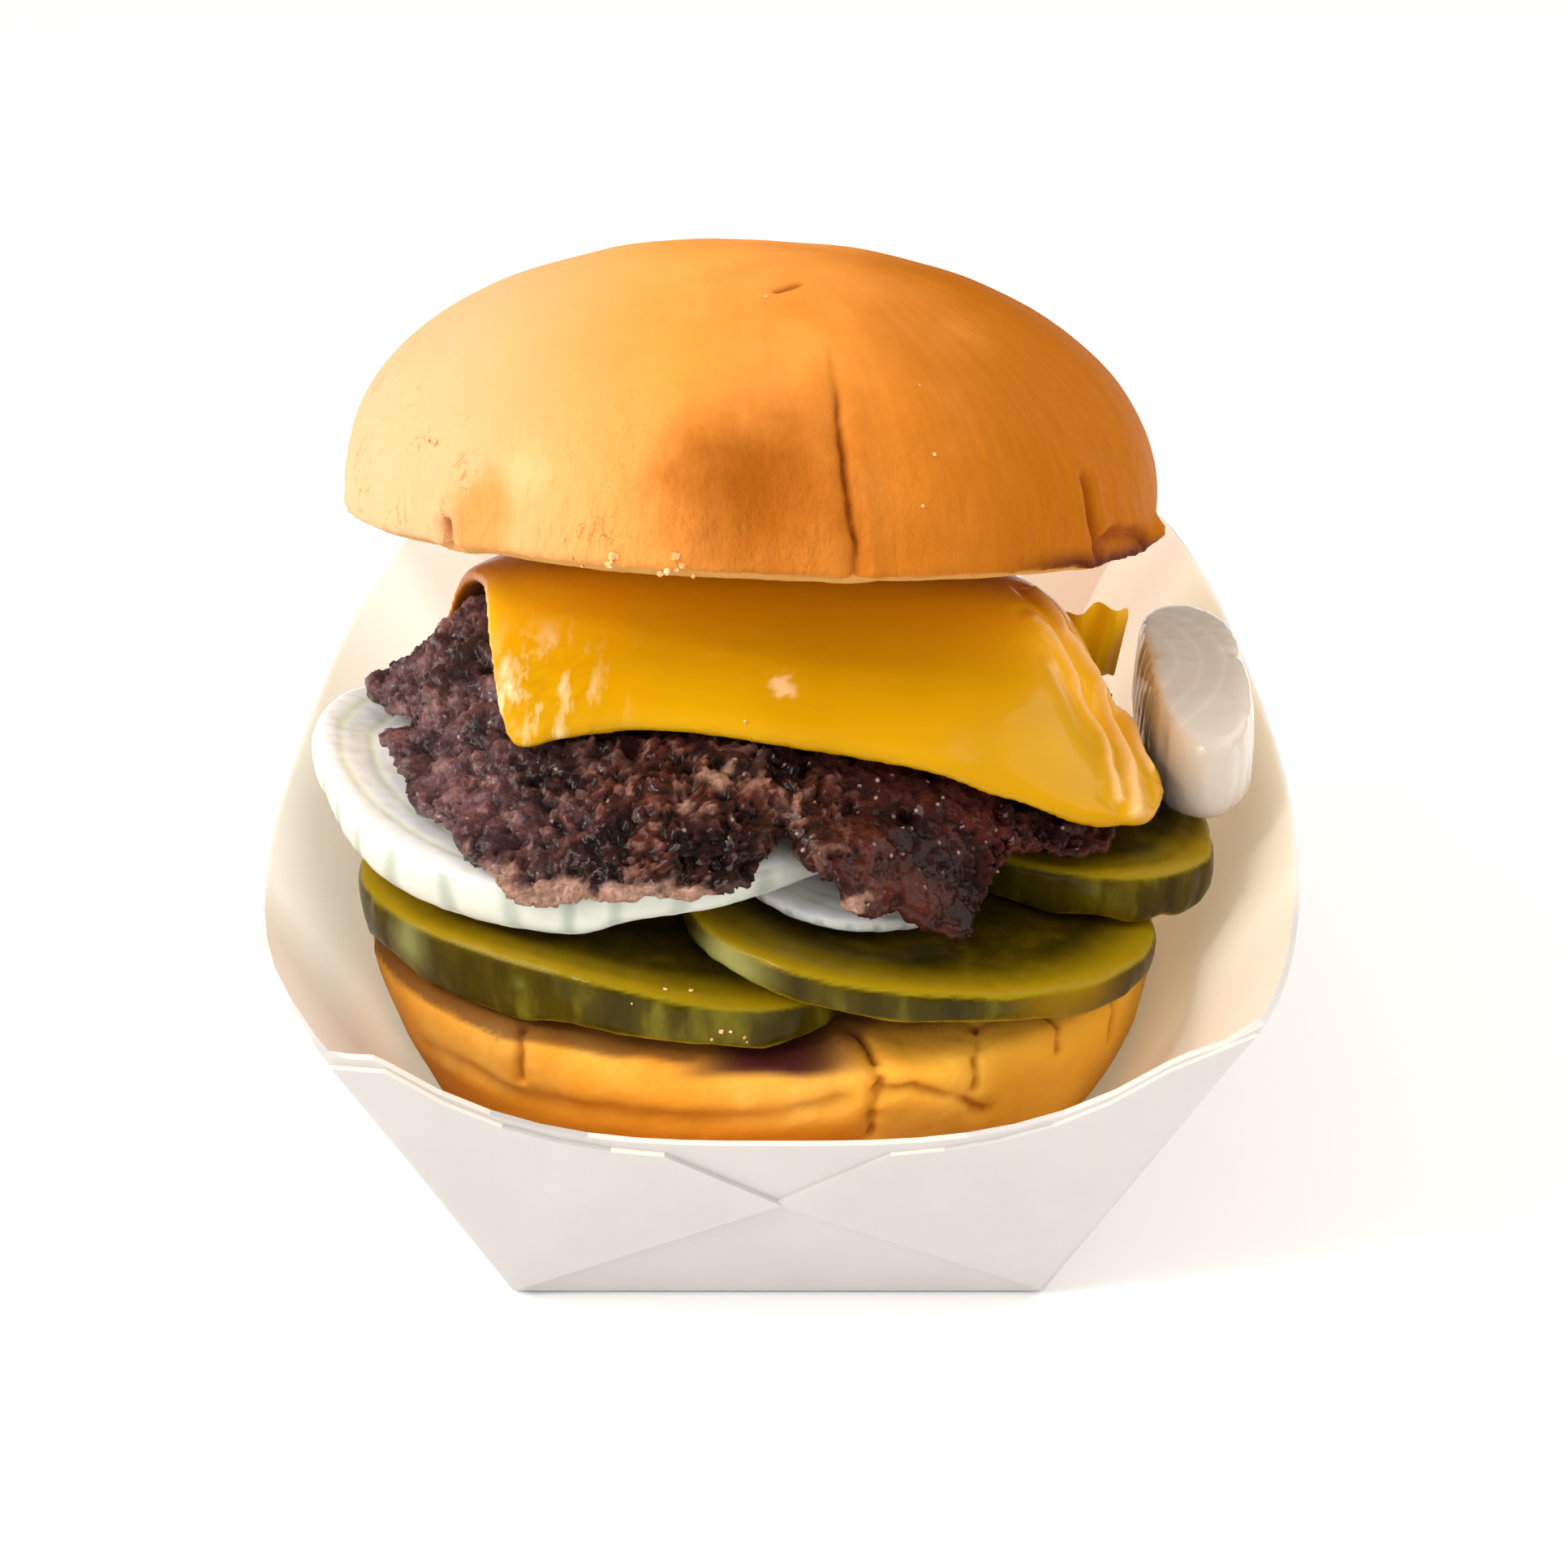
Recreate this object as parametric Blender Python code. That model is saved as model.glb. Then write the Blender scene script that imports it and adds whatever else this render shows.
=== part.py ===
"""Cheeseburger in an open card tray.

The burger is stacked from a thick heel, pickle slices, onion slices, a ragged
patty, a draped slice of cheese and a domed crown, and is wedged between the
flared side walls of a folded card tray.  Lengths below are millimetres and are
turned to metres when the meshes are made.  The origin is the middle of the
underside of the tray, +Z is up and the open front of the tray faces -Y.
"""
import math
import random
from collections import namedtuple

import bmesh
import bpy

MM = 0.001
GAP = 0.4                  # free space between one layer and the next

# Tray: folded white card, sides pushed out by the bun
BASE_HALF_X = 31.05
BASE_HALF_Y = 63.0
CARD = 0.7                 # thickness of the card
RIM_Z = 48.0               # straight rim of the side walls
RIM_LEFT = (60.9, 9.2, 0.0, 80.8, 3.2)      # widest reach, fall at the end, its middle, length, power
RIM_RIGHT = (63.4, 11.4, 12.0, 92.8, 2.7)
CORNER_LEFT_Z, CORNER_RIGHT_Z = 41.0, 46.0
END_LEAN = 0.38            # how far the end walls lean out per unit of height
END_RIM_Z = 26.4           # lowest point of the curved end rim
NOTCH_X, NOTCH_Z = 41.5, 39.6
FLAP = 0.45                # how far a glued corner flap stands proud

# Heel (lower half of the bun), wedged clear of the floor
HEEL_BASE_Z = 9.0
HEEL_TOP_Z = 34.9
HEEL_ROLL = 0.025          # the cut face falls this much per unit of X

# Slices
SLICE_THICK_LEFT = 8.0     # front left pickle
SLICE_THICK_RIGHT = 4.6    # front right pickle
SLICE_THICK_BACK = 7.0     # pickle behind on the right
ONION_THICK = 5.9
ONION_UNDER_THICK = 1.8
PATTY_PEAK_Z = 71.2
CHEESE_THICK = 2.6

# Crown (upper half of the bun), tipped back on the filling
CROWN_FRONT_Z = 85.3
CROWN_PITCH = 0.21
CROWN_ROLL = 0.04
CROWN_HEIGHT = 34.9

Plan = namedtuple("Plan", "cx cy a b power turn lobes")

# Outlines seen from above; a lobe is (direction in degrees, bulge, half width in degrees)
HEEL = Plan(-2.3, -24.5, 49.0, 45.5, 2.25, 0.0, ())
PICKLE_LEFT = Plan(-21.1, -46.9, 31.7, 18.0, 2.1, -30.0, ((100, 1.0, 20),))
PICKLE_RIGHT = Plan(15.7, -46.6, 28.8, 23.7, 2.1, 16.4, ((190, -1.2, 14),))
PICKLE_BACK = Plan(34.4, -30.0, 17.8, 20.5, 2.15, 0.0, ((250, -1.0, 18), (330, 0.8, 20)))
ONION_UNDER = Plan(9.5, -37.0, 18.0, 25.0, 2.0, -10.0, ((262, 0.8, 14),))
ONION_LEFT = Plan(-19.2, -21.0, 37.9, 40.6, 2.05, 0.0, ((205, -0.9, 12), (235, 0.9, 14), (290, 4.8, 19)))
ONION_RIGHT = Plan(51.9, -13.5, 7.1, 26.0, 2.2, -2.0, ())
PATTY = Plan(-3.2, -23.0, 45.4, 43.5, 2.15, 0.0,
             ((160, 3.2, 14), (184, -3.4, 5), (206, -2.4, 12), (243, 2.4, 17), (263, 2.4, 6),
              (276, -13.5, 3.0), (284, 6.0, 5), (298, 3.8, 6), (312, -2.5, 5), (328, 3.0, 8),
              (352, -3.0, 8), (20, 2.5, 12), (75, 2.0, 15)))
CROWN = Plan(-3.1, -7.0, 49.6, 49.0, 2.05, 0.0, ((190, 0.8, 14), (340, 0.6, 12)))


def smooth(value, low, high):
    """0 below low, 1 above high, eased between."""
    t = min(1.0, max(0.0, (value - low) / (high - low)))
    return t * t * (3.0 - 2.0 * t)


def plan_radius(plan, angle):
    """Distance from the centre of a plan to its outline in one direction."""
    turned = angle - math.radians(plan.turn)
    radius = (abs(math.cos(turned) / plan.a) ** plan.power
              + abs(math.sin(turned) / plan.b) ** plan.power) ** (-1.0 / plan.power)
    for toward, bulge, width in plan.lobes:
        off = (angle - math.radians(toward) + math.pi) % (2 * math.pi) - math.pi
        radius += bulge * math.exp(-(off / math.radians(width)) ** 2)
    return radius


def plan_share(plan, x, y):
    """0 at the centre of a plan, 1 on its outline, more outside."""
    dx, dy = x - plan.cx, y - plan.cy
    return math.hypot(dx, dy) / plan_radius(plan, math.atan2(dy, dx))


def tabled(height, step=2.0):
    """The same height function read off a grid, so that layers stacked on it stay quick."""
    known = {}

    def node(i, j):
        if (i, j) not in known:
            known[i, j] = height(i * step, j * step)
        return known[i, j]

    def read(x, y):
        i, j = math.floor(x / step), math.floor(y / step)
        u, v = x / step - i, y / step - j
        near = node(i, j) * (1.0 - u) + node(i + 1, j) * u
        far = node(i, j + 1) * (1.0 - u) + node(i + 1, j + 1) * u
        return near * (1.0 - v) + far * v

    return read


def softened(plan, x, y):
    """1 over a slice, easing to 0 beyond its edge, the way food drapes over it."""
    return 1.0 - smooth(plan_share(plan, x, y), 1.06, 1.6)


def material(name, colour, roughness):
    """A plain Principled material."""
    made = bpy.data.materials.new(name)
    made.use_nodes = True
    shader = made.node_tree.nodes["Principled BSDF"]
    shader.inputs["Base Color"].default_value = (*colour, 1.0)
    shader.inputs["Roughness"].default_value = roughness
    made.diffuse_color = (*colour, 1.0)
    return made


def finish(name, bm, made):
    """Turn a closed bmesh in millimetres into a named, smooth shaded object in metres."""
    bmesh.ops.scale(bm, vec=(MM, MM, MM), verts=bm.verts)
    bmesh.ops.recalc_face_normals(bm, faces=bm.faces)
    bmesh.ops.triangulate(bm, faces=bm.faces)
    mesh = bpy.data.meshes.new(name)
    bm.to_mesh(mesh)
    bm.free()
    mesh.materials.append(made)
    for face in mesh.polygons:
        face.use_smooth = True
    obj = bpy.data.objects.new(name, mesh)
    bpy.context.collection.objects.link(obj)
    return obj


def ring_body(name, rings, made):
    """Close a stack of equally long rings, from the middle of the top to the middle of the base."""
    bm = bmesh.new()
    rows = [[bm.verts.new(point) for point in ring] for ring in rings]
    for upper, lower in zip(rows, rows[1:]):
        for i in range(len(upper)):
            j = (i + 1) % len(upper)
            bm.faces.new((upper[i], lower[i], lower[j], upper[j]))
    caps = [bm.faces.new(rows[0]), bm.faces.new(rows[-1])]
    bmesh.ops.poke(bm, faces=caps)
    return finish(name, bm, made)


def slice_body(name, plan, sectors, shares, top, under, made, lean=0.0, ragged=None):
    """A slice with a flat or draped top and underside and a rounded edge.

    shares are the parts of the radius where the top and underside have rings;
    lean moves the upper edge in from the lower edge.
    """
    ragged = ragged or [0.0] * sectors
    angles = [2 * math.pi * i / sectors for i in range(sectors)]

    def ring(share, inset, height):
        points = []
        for angle, rag in zip(angles, ragged):
            radius = (plan_radius(plan, angle) + rag) * share - inset
            x = plan.cx + radius * math.cos(angle)
            y = plan.cy + radius * math.sin(angle)
            points.append((x, y, height(x, y)))
        return points

    def between(part):
        return lambda x, y: under(x, y) + (top(x, y) - under(x, y)) * part

    rings = [ring(share, lean, top) for share in shares]
    rings.append(ring(1.0, 0.55 + lean, top))
    rings.append(ring(1.0, 0.8 * lean, between(0.82)))
    rings.append(ring(1.0, 0.0, between(0.3)))
    rings.append(ring(1.0, 0.6, under))
    rings += [ring(share, 0.0, under) for share in reversed(shares)]
    return ring_body(name, rings, made)


def side_rim(part, side):
    """Rim of a side wall; part runs from -1 at the front corner to 1 at the back corner."""
    corner_z = CORNER_RIGHT_Z if side > 0 else CORNER_LEFT_Z
    reach, fall, middle, length, power = RIM_RIGHT if side > 0 else RIM_LEFT
    y = part * (BASE_HALF_Y + END_LEAN * corner_z)
    z = RIM_Z - (RIM_Z - corner_z) * abs(part) ** 26
    half = reach - fall * abs((y - middle) / length) ** power
    return side * (half - 0.65 * (RIM_Z - z)), y, z


def end_rim_z(x, corner):
    """Height of the curved rim of an end wall at a distance from the middle."""
    if abs(x) <= NOTCH_X:
        return END_RIM_Z + (NOTCH_Z - END_RIM_Z) * (abs(x) / NOTCH_X) ** 3.2
    rise = (abs(x) - NOTCH_X) / (abs(corner[0]) - NOTCH_X)
    return NOTCH_Z + 0.9 * min(1.0, rise * 5) + (corner[2] - NOTCH_Z - 0.9) * rise ** 1.6


def end_columns(end):
    """Base and rim points along an end wall, from -X to +X; end is -1 for the front wall."""
    corners = side_rim(end, -1), side_rim(end, 1)
    inner = [NOTCH_X * (i / 8 - 1) for i in range(17)]
    left = [corners[0][0] + (corners[0][0] + NOTCH_X) * -part for part in (0.0, 0.4, 0.8)]
    right = [corners[1][0] - (corners[1][0] - NOTCH_X) * part for part in (0.8, 0.4, 0.0)]
    columns = []
    for x in left + inner + right:
        corner = corners[0] if x < 0 else corners[1]
        z = end_rim_z(x, corner)
        base = (x * BASE_HALF_X / abs(corner[0]), end * BASE_HALF_Y, 0.0)
        columns.append((base, (x, end * (BASE_HALF_Y + END_LEAN * z), z)))
    return columns


def side_columns(side, count=22):
    """Base and rim points along a side wall between its corners, closer near the corners."""
    parts = [math.sin(math.pi * (i / count - 0.5)) for i in range(1, count)]
    return [((side * BASE_HALF_X, BASE_HALF_Y * part, 0.0), side_rim(part, side)) for part in parts]


def tray_shell():
    """Outer skin of the tray as an open bmesh: four ruled walls on a flat floor."""
    front, back = end_columns(-1), end_columns(1)
    right, left = side_columns(1), side_columns(-1)
    columns = front + right + back[::-1] + left[::-1]
    bm = bmesh.new()
    levels = (0.0, 0.34, 0.67, 1.0)
    rows = [[bm.verts.new([a + (b - a) * level for a, b in zip(base, rim)]) for base, rim in columns]
            for level in levels]
    for lower, upper in zip(rows, rows[1:]):
        for i in range(len(columns)):
            j = (i + 1) % len(columns)
            bm.faces.new((lower[i], lower[j], upper[j], upper[i]))
    floor, ends, sides = rows[0], len(front), len(right)
    right_row = floor[ends - 1:ends + sides + 1]
    left_row = [floor[0]] + floor[:-sides - 1:-1] + [floor[2 * ends + sides - 1]]
    bm.faces.new(floor[:ends] + [right_row[1], left_row[1]])
    for i in range(1, sides):
        bm.faces.new((left_row[i], right_row[i], right_row[i + 1], left_row[i + 1]))
    bm.faces.new([left_row[-2], right_row[-2]] + floor[ends + sides:2 * ends + sides])
    bmesh.ops.recalc_face_normals(bm, faces=bm.faces)
    return bm


def flap_outline(side, end):
    """Corner flap glued on the outside of an end wall, as (x, height) up the wall."""
    corner = side_rim(end, side)
    points = [(side * (BASE_HALF_X - 0.5), 0.9), (corner[0] * 0.985, corner[2] - 1.2)]
    for part in (1.0, 0.86, 0.72, 0.58, 0.44, 0.3):
        x = side * NOTCH_X * part
        points.append((x, end_rim_z(x, corner) - 0.5 - 1.3 * (1.0 - part)))
    points.append((-side * 0.4, 16.7))
    return points


def flap_plate(side, end, proud):
    """A corner flap as a thin plate sunk a little into the end wall."""
    length = math.hypot(1.0, END_LEAN)
    bm = bmesh.new()
    layers = []
    for out in (-0.35, proud):
        y_step, z_step = end * out / length, -END_LEAN * out / length
        layers.append([bm.verts.new((x * MM, (end * (BASE_HALF_Y + END_LEAN * z) + y_step) * MM,
                                     (z + z_step) * MM)) for x, z in flap_outline(side, end)])
    inner, outer = layers
    bm.faces.new(inner)
    bm.faces.new(outer)
    for i in range(len(inner)):
        j = (i + 1) % len(inner)
        bm.faces.new((inner[i], inner[j], outer[j], outer[i]))
    bmesh.ops.recalc_face_normals(bm, faces=bm.faces)
    mesh = bpy.data.meshes.new("flap")
    bm.to_mesh(mesh)
    bm.free()
    return bpy.data.objects.new("flap", mesh)


def bake(obj):
    """Apply the modifiers of an object."""
    depsgraph = bpy.context.evaluated_depsgraph_get()
    mesh = bpy.data.meshes.new_from_object(obj.evaluated_get(depsgraph))
    obj.modifiers.clear()
    obj.data = mesh


def make_tray():
    """Folded card tray: curved end walls, rounded side walls, corner flaps glued outside."""
    bm = tray_shell()
    bmesh.ops.scale(bm, vec=(MM, MM, MM), verts=bm.verts)
    mesh = bpy.data.meshes.new("tray")
    bm.to_mesh(mesh)
    bm.free()
    tray = bpy.data.objects.new("tray", mesh)
    bpy.context.collection.objects.link(tray)
    thick = tray.modifiers.new("card", "SOLIDIFY")
    thick.thickness = CARD * MM
    thick.offset = -1.0
    thick.use_even_offset = True
    bake(tray)
    flaps = bpy.data.collections.new("flaps")
    bpy.context.scene.collection.children.link(flaps)
    for side, end, proud in ((-1, -1, FLAP + 0.15), (1, -1, FLAP), (-1, 1, FLAP), (1, 1, FLAP + 0.15)):
        flaps.objects.link(flap_plate(side, end, proud))
    union = tray.modifiers.new("glue", "BOOLEAN")
    union.operation = "UNION"
    union.operand_type = "COLLECTION"
    union.collection = flaps
    union.solver = "EXACT"
    bake(tray)
    for plate in list(flaps.objects):
        bpy.data.objects.remove(plate)
    bpy.data.collections.remove(flaps)
    clean = bmesh.new()
    clean.from_mesh(tray.data)
    bmesh.ops.remove_doubles(clean, verts=clean.verts, dist=0.00002)
    bmesh.ops.triangulate(clean, faces=clean.faces)
    clean.to_mesh(tray.data)
    clean.free()
    tray.data.name = "tray"
    tray.data.materials.clear()
    tray.data.materials.append(material("white_card", (0.86, 0.85, 0.83), 0.6))
    for face in tray.data.polygons:
        face.use_smooth = True
    tray.data.set_sharp_from_angle(angle=math.radians(22))


def wall_limit(side, y, z):
    """How far out a body can reach at a height inside a side wall, with a little space left."""
    part = max(-1.0, min(1.0, y / (BASE_HALF_Y + END_LEAN * z)))
    rim_x, _, rim_z = side_rim(part, side)
    return BASE_HALF_X + (abs(rim_x) - BASE_HALF_X) * min(1.0, z / rim_z) - CARD - 2.5 * GAP


def heel_face(x):
    """Slightly rolled plane of the cut face of the heel."""
    return HEEL_TOP_Z - HEEL_ROLL * (x - HEEL.cx)


def heel_top(x, y):
    """Cut face of the heel, dropping off at its rim."""
    return heel_face(x) - 0.9 * smooth(plan_share(HEEL, x, y), 0.86, 1.0)


def make_heel():
    """Heel with a flat base, sides that follow the flare of the tray, and soft dents in front."""
    sectors = 64
    levels = ((34.0, 0.99), (32.3, 1.0), (29.5, 0.998), (25.0, 0.985), (20.0, 0.955), (15.0, 0.9),
              (11.0, 0.82), (HEEL_BASE_Z, 0.7))
    angles = [2 * math.pi * i / sectors for i in range(sectors)]
    dents = ((-122, 1.3, 4, 26), (-72, 1.6, 4, 24), (-54, 1.1, 4, 27), (-98, 0.8, 9, 22), (-35, 0.9, 6, 24))

    def dent(angle, z):
        depth = 0.0
        for toward, inward, width, height in dents:
            off = (angle - math.radians(toward) + math.pi) % (2 * math.pi) - math.pi
            depth += inward * math.exp(-(off / math.radians(width)) ** 2 - ((z - height) / 9.0) ** 2)
        return depth

    rings = []
    for share in (0.14, 0.4, 0.64, 0.84, 0.96):
        ring = []
        for angle in angles:
            radius = plan_radius(HEEL, angle) * share
            x, y = HEEL.cx + radius * math.cos(angle), HEEL.cy + radius * math.sin(angle)
            ring.append((x, y, heel_top(x, y)))
        rings.append(ring)
    for z, share in levels:
        ring = []
        for angle in angles:
            radius = plan_radius(HEEL, angle) * share - dent(angle, z)
            radius += 0.2 * math.sin(5 * angle + 0.2 * z) + 0.15 * math.sin(11 * angle + 1.0)
            x, y = HEEL.cx + radius * math.cos(angle), HEEL.cy + radius * math.sin(angle)
            side = math.copysign(1.0, x)
            x = side * min(abs(x), wall_limit(side, y, z))
            roll = HEEL_ROLL * (x - HEEL.cx) * smooth(z, 15.0, 34.0)
            ring.append((x, y, z - roll))
        rings.append(ring)
    rings.append([(HEEL.cx + (x - HEEL.cx) * 0.5, HEEL.cy + (y - HEEL.cy) * 0.5, z) for x, y, z in rings[-1]])
    ring_body("bottom_bun", rings, material("bun_heel", (0.83, 0.42, 0.11), 0.6))


def pickle_left_under(x, y):
    """Underside of the front left pickle, lying on the heel."""
    return heel_face(x) + GAP


def pickle_left_top(x, y):
    """Upper face of the front left pickle, sinking where the next slice lies on it."""
    return HEEL_TOP_Z + 1.6 + SLICE_THICK_LEFT - 4.1 * smooth(x, -26.0, 10.0)


def pickle_right_under(x, y):
    """Underside of the front right pickle: a stiff slice bridging down to the heel."""
    return 43.4 - 0.157 * (x + 8.0)


def pickle_right_top(x, y):
    """Upper face of the front right pickle."""
    return pickle_right_under(x, y) + SLICE_THICK_RIGHT


def pickle_back_under(x, y):
    """Underside of the pickle behind, lying on the front right one."""
    return pickle_right_top(x, y) + GAP


def pickle_back_top(x, y):
    """Upper face of the pickle behind, thinner on its inner side."""
    return pickle_back_under(x, y) + SLICE_THICK_BACK - 1.8 * (1.0 - smooth(x, 14.0, 38.0))


PICKLES = ((PICKLE_LEFT, pickle_left_top), (PICKLE_RIGHT, pickle_right_top), (PICKLE_BACK, pickle_back_top))


def resting(x, y, layers):
    """Height of the food below, with the steps at the edges of slices eased out."""
    floor = heel_top(x, y)
    return max([floor] + [floor + (top(x, y) - floor) * softened(plan, x, y) for plan, top in layers])


def draped(x, y, layers, reach):
    """Height that clears the food below within a reach, as a stiff slice bridges small steps."""
    spots = [(x, y)] + [(x + reach * math.cos(turn), y + reach * math.sin(turn))
                        for turn in (math.pi * k / 4 for k in range(8))]
    return max(resting(px, py, layers) for px, py in spots) + 2.0 * GAP


@tabled
def onion_under_low(x, y):
    """Underside of the thin onion slice."""
    return draped(x, y, PICKLES, 2.0)


def onion_under_top(x, y):
    """Upper face of the thin onion slice."""
    return onion_under_low(x, y) + ONION_UNDER_THICK


@tabled
def onion_left_low(x, y):
    """Underside of the thick onion slice, turned up toward the side wall and sinking behind."""
    bend = 0.0046 * min(0.0, x + 24.0) ** 2
    flat = HEEL_TOP_Z + SLICE_THICK_LEFT + 1.4 - 0.0035 * max(0.0, y + 25.0) ** 2
    return max(draped(x, y, PICKLES + ((ONION_UNDER, onion_under_top),), 3.0) + GAP, flat) + bend


def onion_left_top(x, y):
    """Upper face of the thick onion slice with the steps between its rings."""
    share = plan_share(ONION_LEFT, x, y)
    groove = 0.7 * math.exp(-((share - 0.8) / 0.05) ** 2) + 0.5 * math.exp(-((share - 0.6) / 0.05) ** 2)
    return onion_left_low(x, y) + ONION_THICK - 3.0 * smooth(x, -14.0, 8.0) - groove


FILLING = PICKLES + ((ONION_UNDER, onion_under_top), (ONION_LEFT, onion_left_top))


def onion_right_low(x, y):
    """Flat underside of the onion wedge standing on the pickle behind."""
    return pickle_back_top(48.0, -24.0) + 2 * GAP


def onion_right_top(x, y):
    """Upper face of the onion wedge."""
    return 60.5 - 0.004 * (y - ONION_RIGHT.cy) ** 2


@tabled
def patty_low(x, y):
    """Underside of the patty, draped over the filling and drooping past the front of the onion."""
    droop = 3.2 * smooth(plan_share(ONION_LEFT, x, y), 0.995, 1.055) * smooth(-y, 40.0, 52.0)
    return draped(x, y, FILLING, 4.0) + GAP - droop * (1.0 - smooth(x, -6.0, 4.0))


def patty_skin(x, y):
    """Smooth upper bound of the patty: thick in the middle and thin along the ragged edge."""
    thin = patty_low(x, y) + 3.0
    dome = PATTY_PEAK_Z - 0.0083 * (y + 19.0) ** 2 - 0.0035 * (x + 8.0) ** 2
    edge = smooth(plan_share(PATTY, x, y), 0.78, 1.0)
    return thin + max(dome - thin, 1.0) * (1.0 - edge)


def patty_top(x, y):
    """Crusty upper face of the patty."""
    crag = math.sin(0.9 * x + 1.3 * math.sin(0.5 * y)) * math.sin(0.8 * y + 1.1 * math.sin(0.6 * x))
    return patty_skin(x, y) - 0.7 * (1.0 + crag) * smooth(plan_share(PATTY, x, y), 0.35, 0.7)


def cheese_low(x, y):
    """Underside of the cheese: lies on the patty and hangs over its edge."""
    hung = pickle_back_top(max(x, 20.0), y) + 1.2
    share = plan_share(PATTY, x, y)
    return hung + max(0.0, patty_skin(x, y) - hung) * (1.0 - smooth(share, 1.06, 1.28)) + 2.5 * GAP


def cheese_top(x, y):
    """Upper face of the cheese with the long fold on its right."""
    along = (y + 53.0) / 42.0
    fold = abs(x - (44.0 - 8.5 * along))
    ridge = 1.1 * math.exp(-(fold / 2.0) ** 2) * smooth(along, -0.1, 0.25) * smooth(1.15 - along, 0.0, 0.3)
    return cheese_low(x, y) + CHEESE_THICK + ridge


def cheese_plan(s, t):
    """Plan position of a point of the cheese; s runs left to right, t front to back."""
    left = -29.5 - 9.5 * t ** 0.6 - 7.0 * smooth(t, 0.5, 0.86)
    right = 42.0 + 3.6 * math.sin(math.pi * min(1.0, t * 1.9)) - 3.0 * smooth(t, 0.45, 0.7)
    front = -50.2 + 1.2 * math.sin(3.0 * math.pi * s) - 3.2 * smooth(s, 0.45, 0.8) + 2.6 * smooth(s, 0.85, 1.0)
    back = 11.0 + 2.5 * math.cos(2.5 * s)
    return left + (right - left) * s, front + (back - front) * t


def make_cheese():
    """One square slice, melted over the patty."""
    cells = 19
    bm = bmesh.new()
    faces = []
    for height in (cheese_top, cheese_low):
        faces.append([[bm.verts.new((*cheese_plan(i / cells, j / cells), height(*cheese_plan(i / cells, j / cells))))
                       for i in range(cells + 1)] for j in range(cells + 1)])
    upper, lower = faces
    for rows in faces:
        for j in range(cells):
            for i in range(cells):
                bm.faces.new((rows[j][i], rows[j][i + 1], rows[j + 1][i + 1], rows[j + 1][i]))
    for k in range(cells):
        for a, b in (((0, k), (0, k + 1)), ((cells, k), (cells, k + 1)), ((k, 0), (k + 1, 0)),
                     ((k, cells), (k + 1, cells))):
            bm.faces.new((upper[a[0]][a[1]], upper[b[0]][b[1]], lower[b[0]][b[1]], lower[a[0]][a[1]]))
    finish("cheese", bm, material("melted_cheese", (0.86, 0.5, 0.03), 0.35))


def make_patty():
    """Ragged, crusty patty."""
    sectors = 82
    rng = random.Random(11)
    jag = [rng.uniform(-1.3, 1.0) for _ in range(sectors)]
    slice_body("patty", PATTY, sectors, (0.24, 0.54, 0.76, 0.86, 0.94), patty_top, patty_low,
               material("seared_patty", (0.11, 0.045, 0.03), 0.6), ragged=jag)


def crown_place(u, v, height):
    """World position of a point given in the plane of the crown's cut face."""
    pitch, roll = math.atan(CROWN_PITCH), math.atan(CROWN_ROLL)
    x = u * math.cos(roll) + height * math.sin(roll)
    lift = height * math.cos(roll) - u * math.sin(roll)
    y = v * math.cos(pitch) + lift * math.sin(pitch)
    z = lift * math.cos(pitch) - v * math.sin(pitch)
    middle_z = CROWN_FRONT_Z - CROWN_PITCH * CROWN.b
    return CROWN.cx + x, CROWN.cy + y, middle_z + z


def crown_dent(angle, height):
    """How far the creases of the crown go in."""
    creases = ((-75, 1.3, 4.0, 12, 11), (-90, 1.5, 8.0, 12, 6), (-34, 1.1, 5.0, 6, 6), (-133, 0.9, 4.0, 2, 5))
    depth = 0.0
    for toward, inward, width, middle, tall in creases:
        off = (angle - math.radians(toward) + math.pi) % (2 * math.pi) - math.pi
        depth += inward * math.exp(-(off / math.radians(width)) ** 2 - ((height - middle) / tall) ** 2)
    return depth


def make_crown():
    """Domed crown with a browned, slightly creased crust and a flat cut face that sags in the middle."""
    sectors = 68
    widest = 4.5
    profile = []
    for step in range(1, 11):
        turn = math.radians(step * 9.0)
        profile.append((math.sin(turn) ** 0.96, widest + (CROWN_HEIGHT - widest) * math.cos(turn) ** 0.94))
    profile += [(0.992, 2.0), (0.974, 0.4), (0.93, 0.0), (0.7, -0.5), (0.45, -0.9), (0.15, -1.1)]
    rings = []
    for share, height in profile:
        ring = []
        for i in range(sectors):
            angle = 2 * math.pi * i / sectors
            radius = plan_radius(CROWN, angle) * share
            if height > 0.2:
                radius += share * (0.4 * math.sin(4 * angle + 0.6) + 0.2 * math.sin(9 * angle))
                radius -= crown_dent(angle, height)
            ring.append(crown_place(radius * math.cos(angle), radius * math.sin(angle), height))
        rings.append(ring)
    ring_body("top_bun", rings, material("bun_crown", (0.86, 0.45, 0.13), 0.5))


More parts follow.
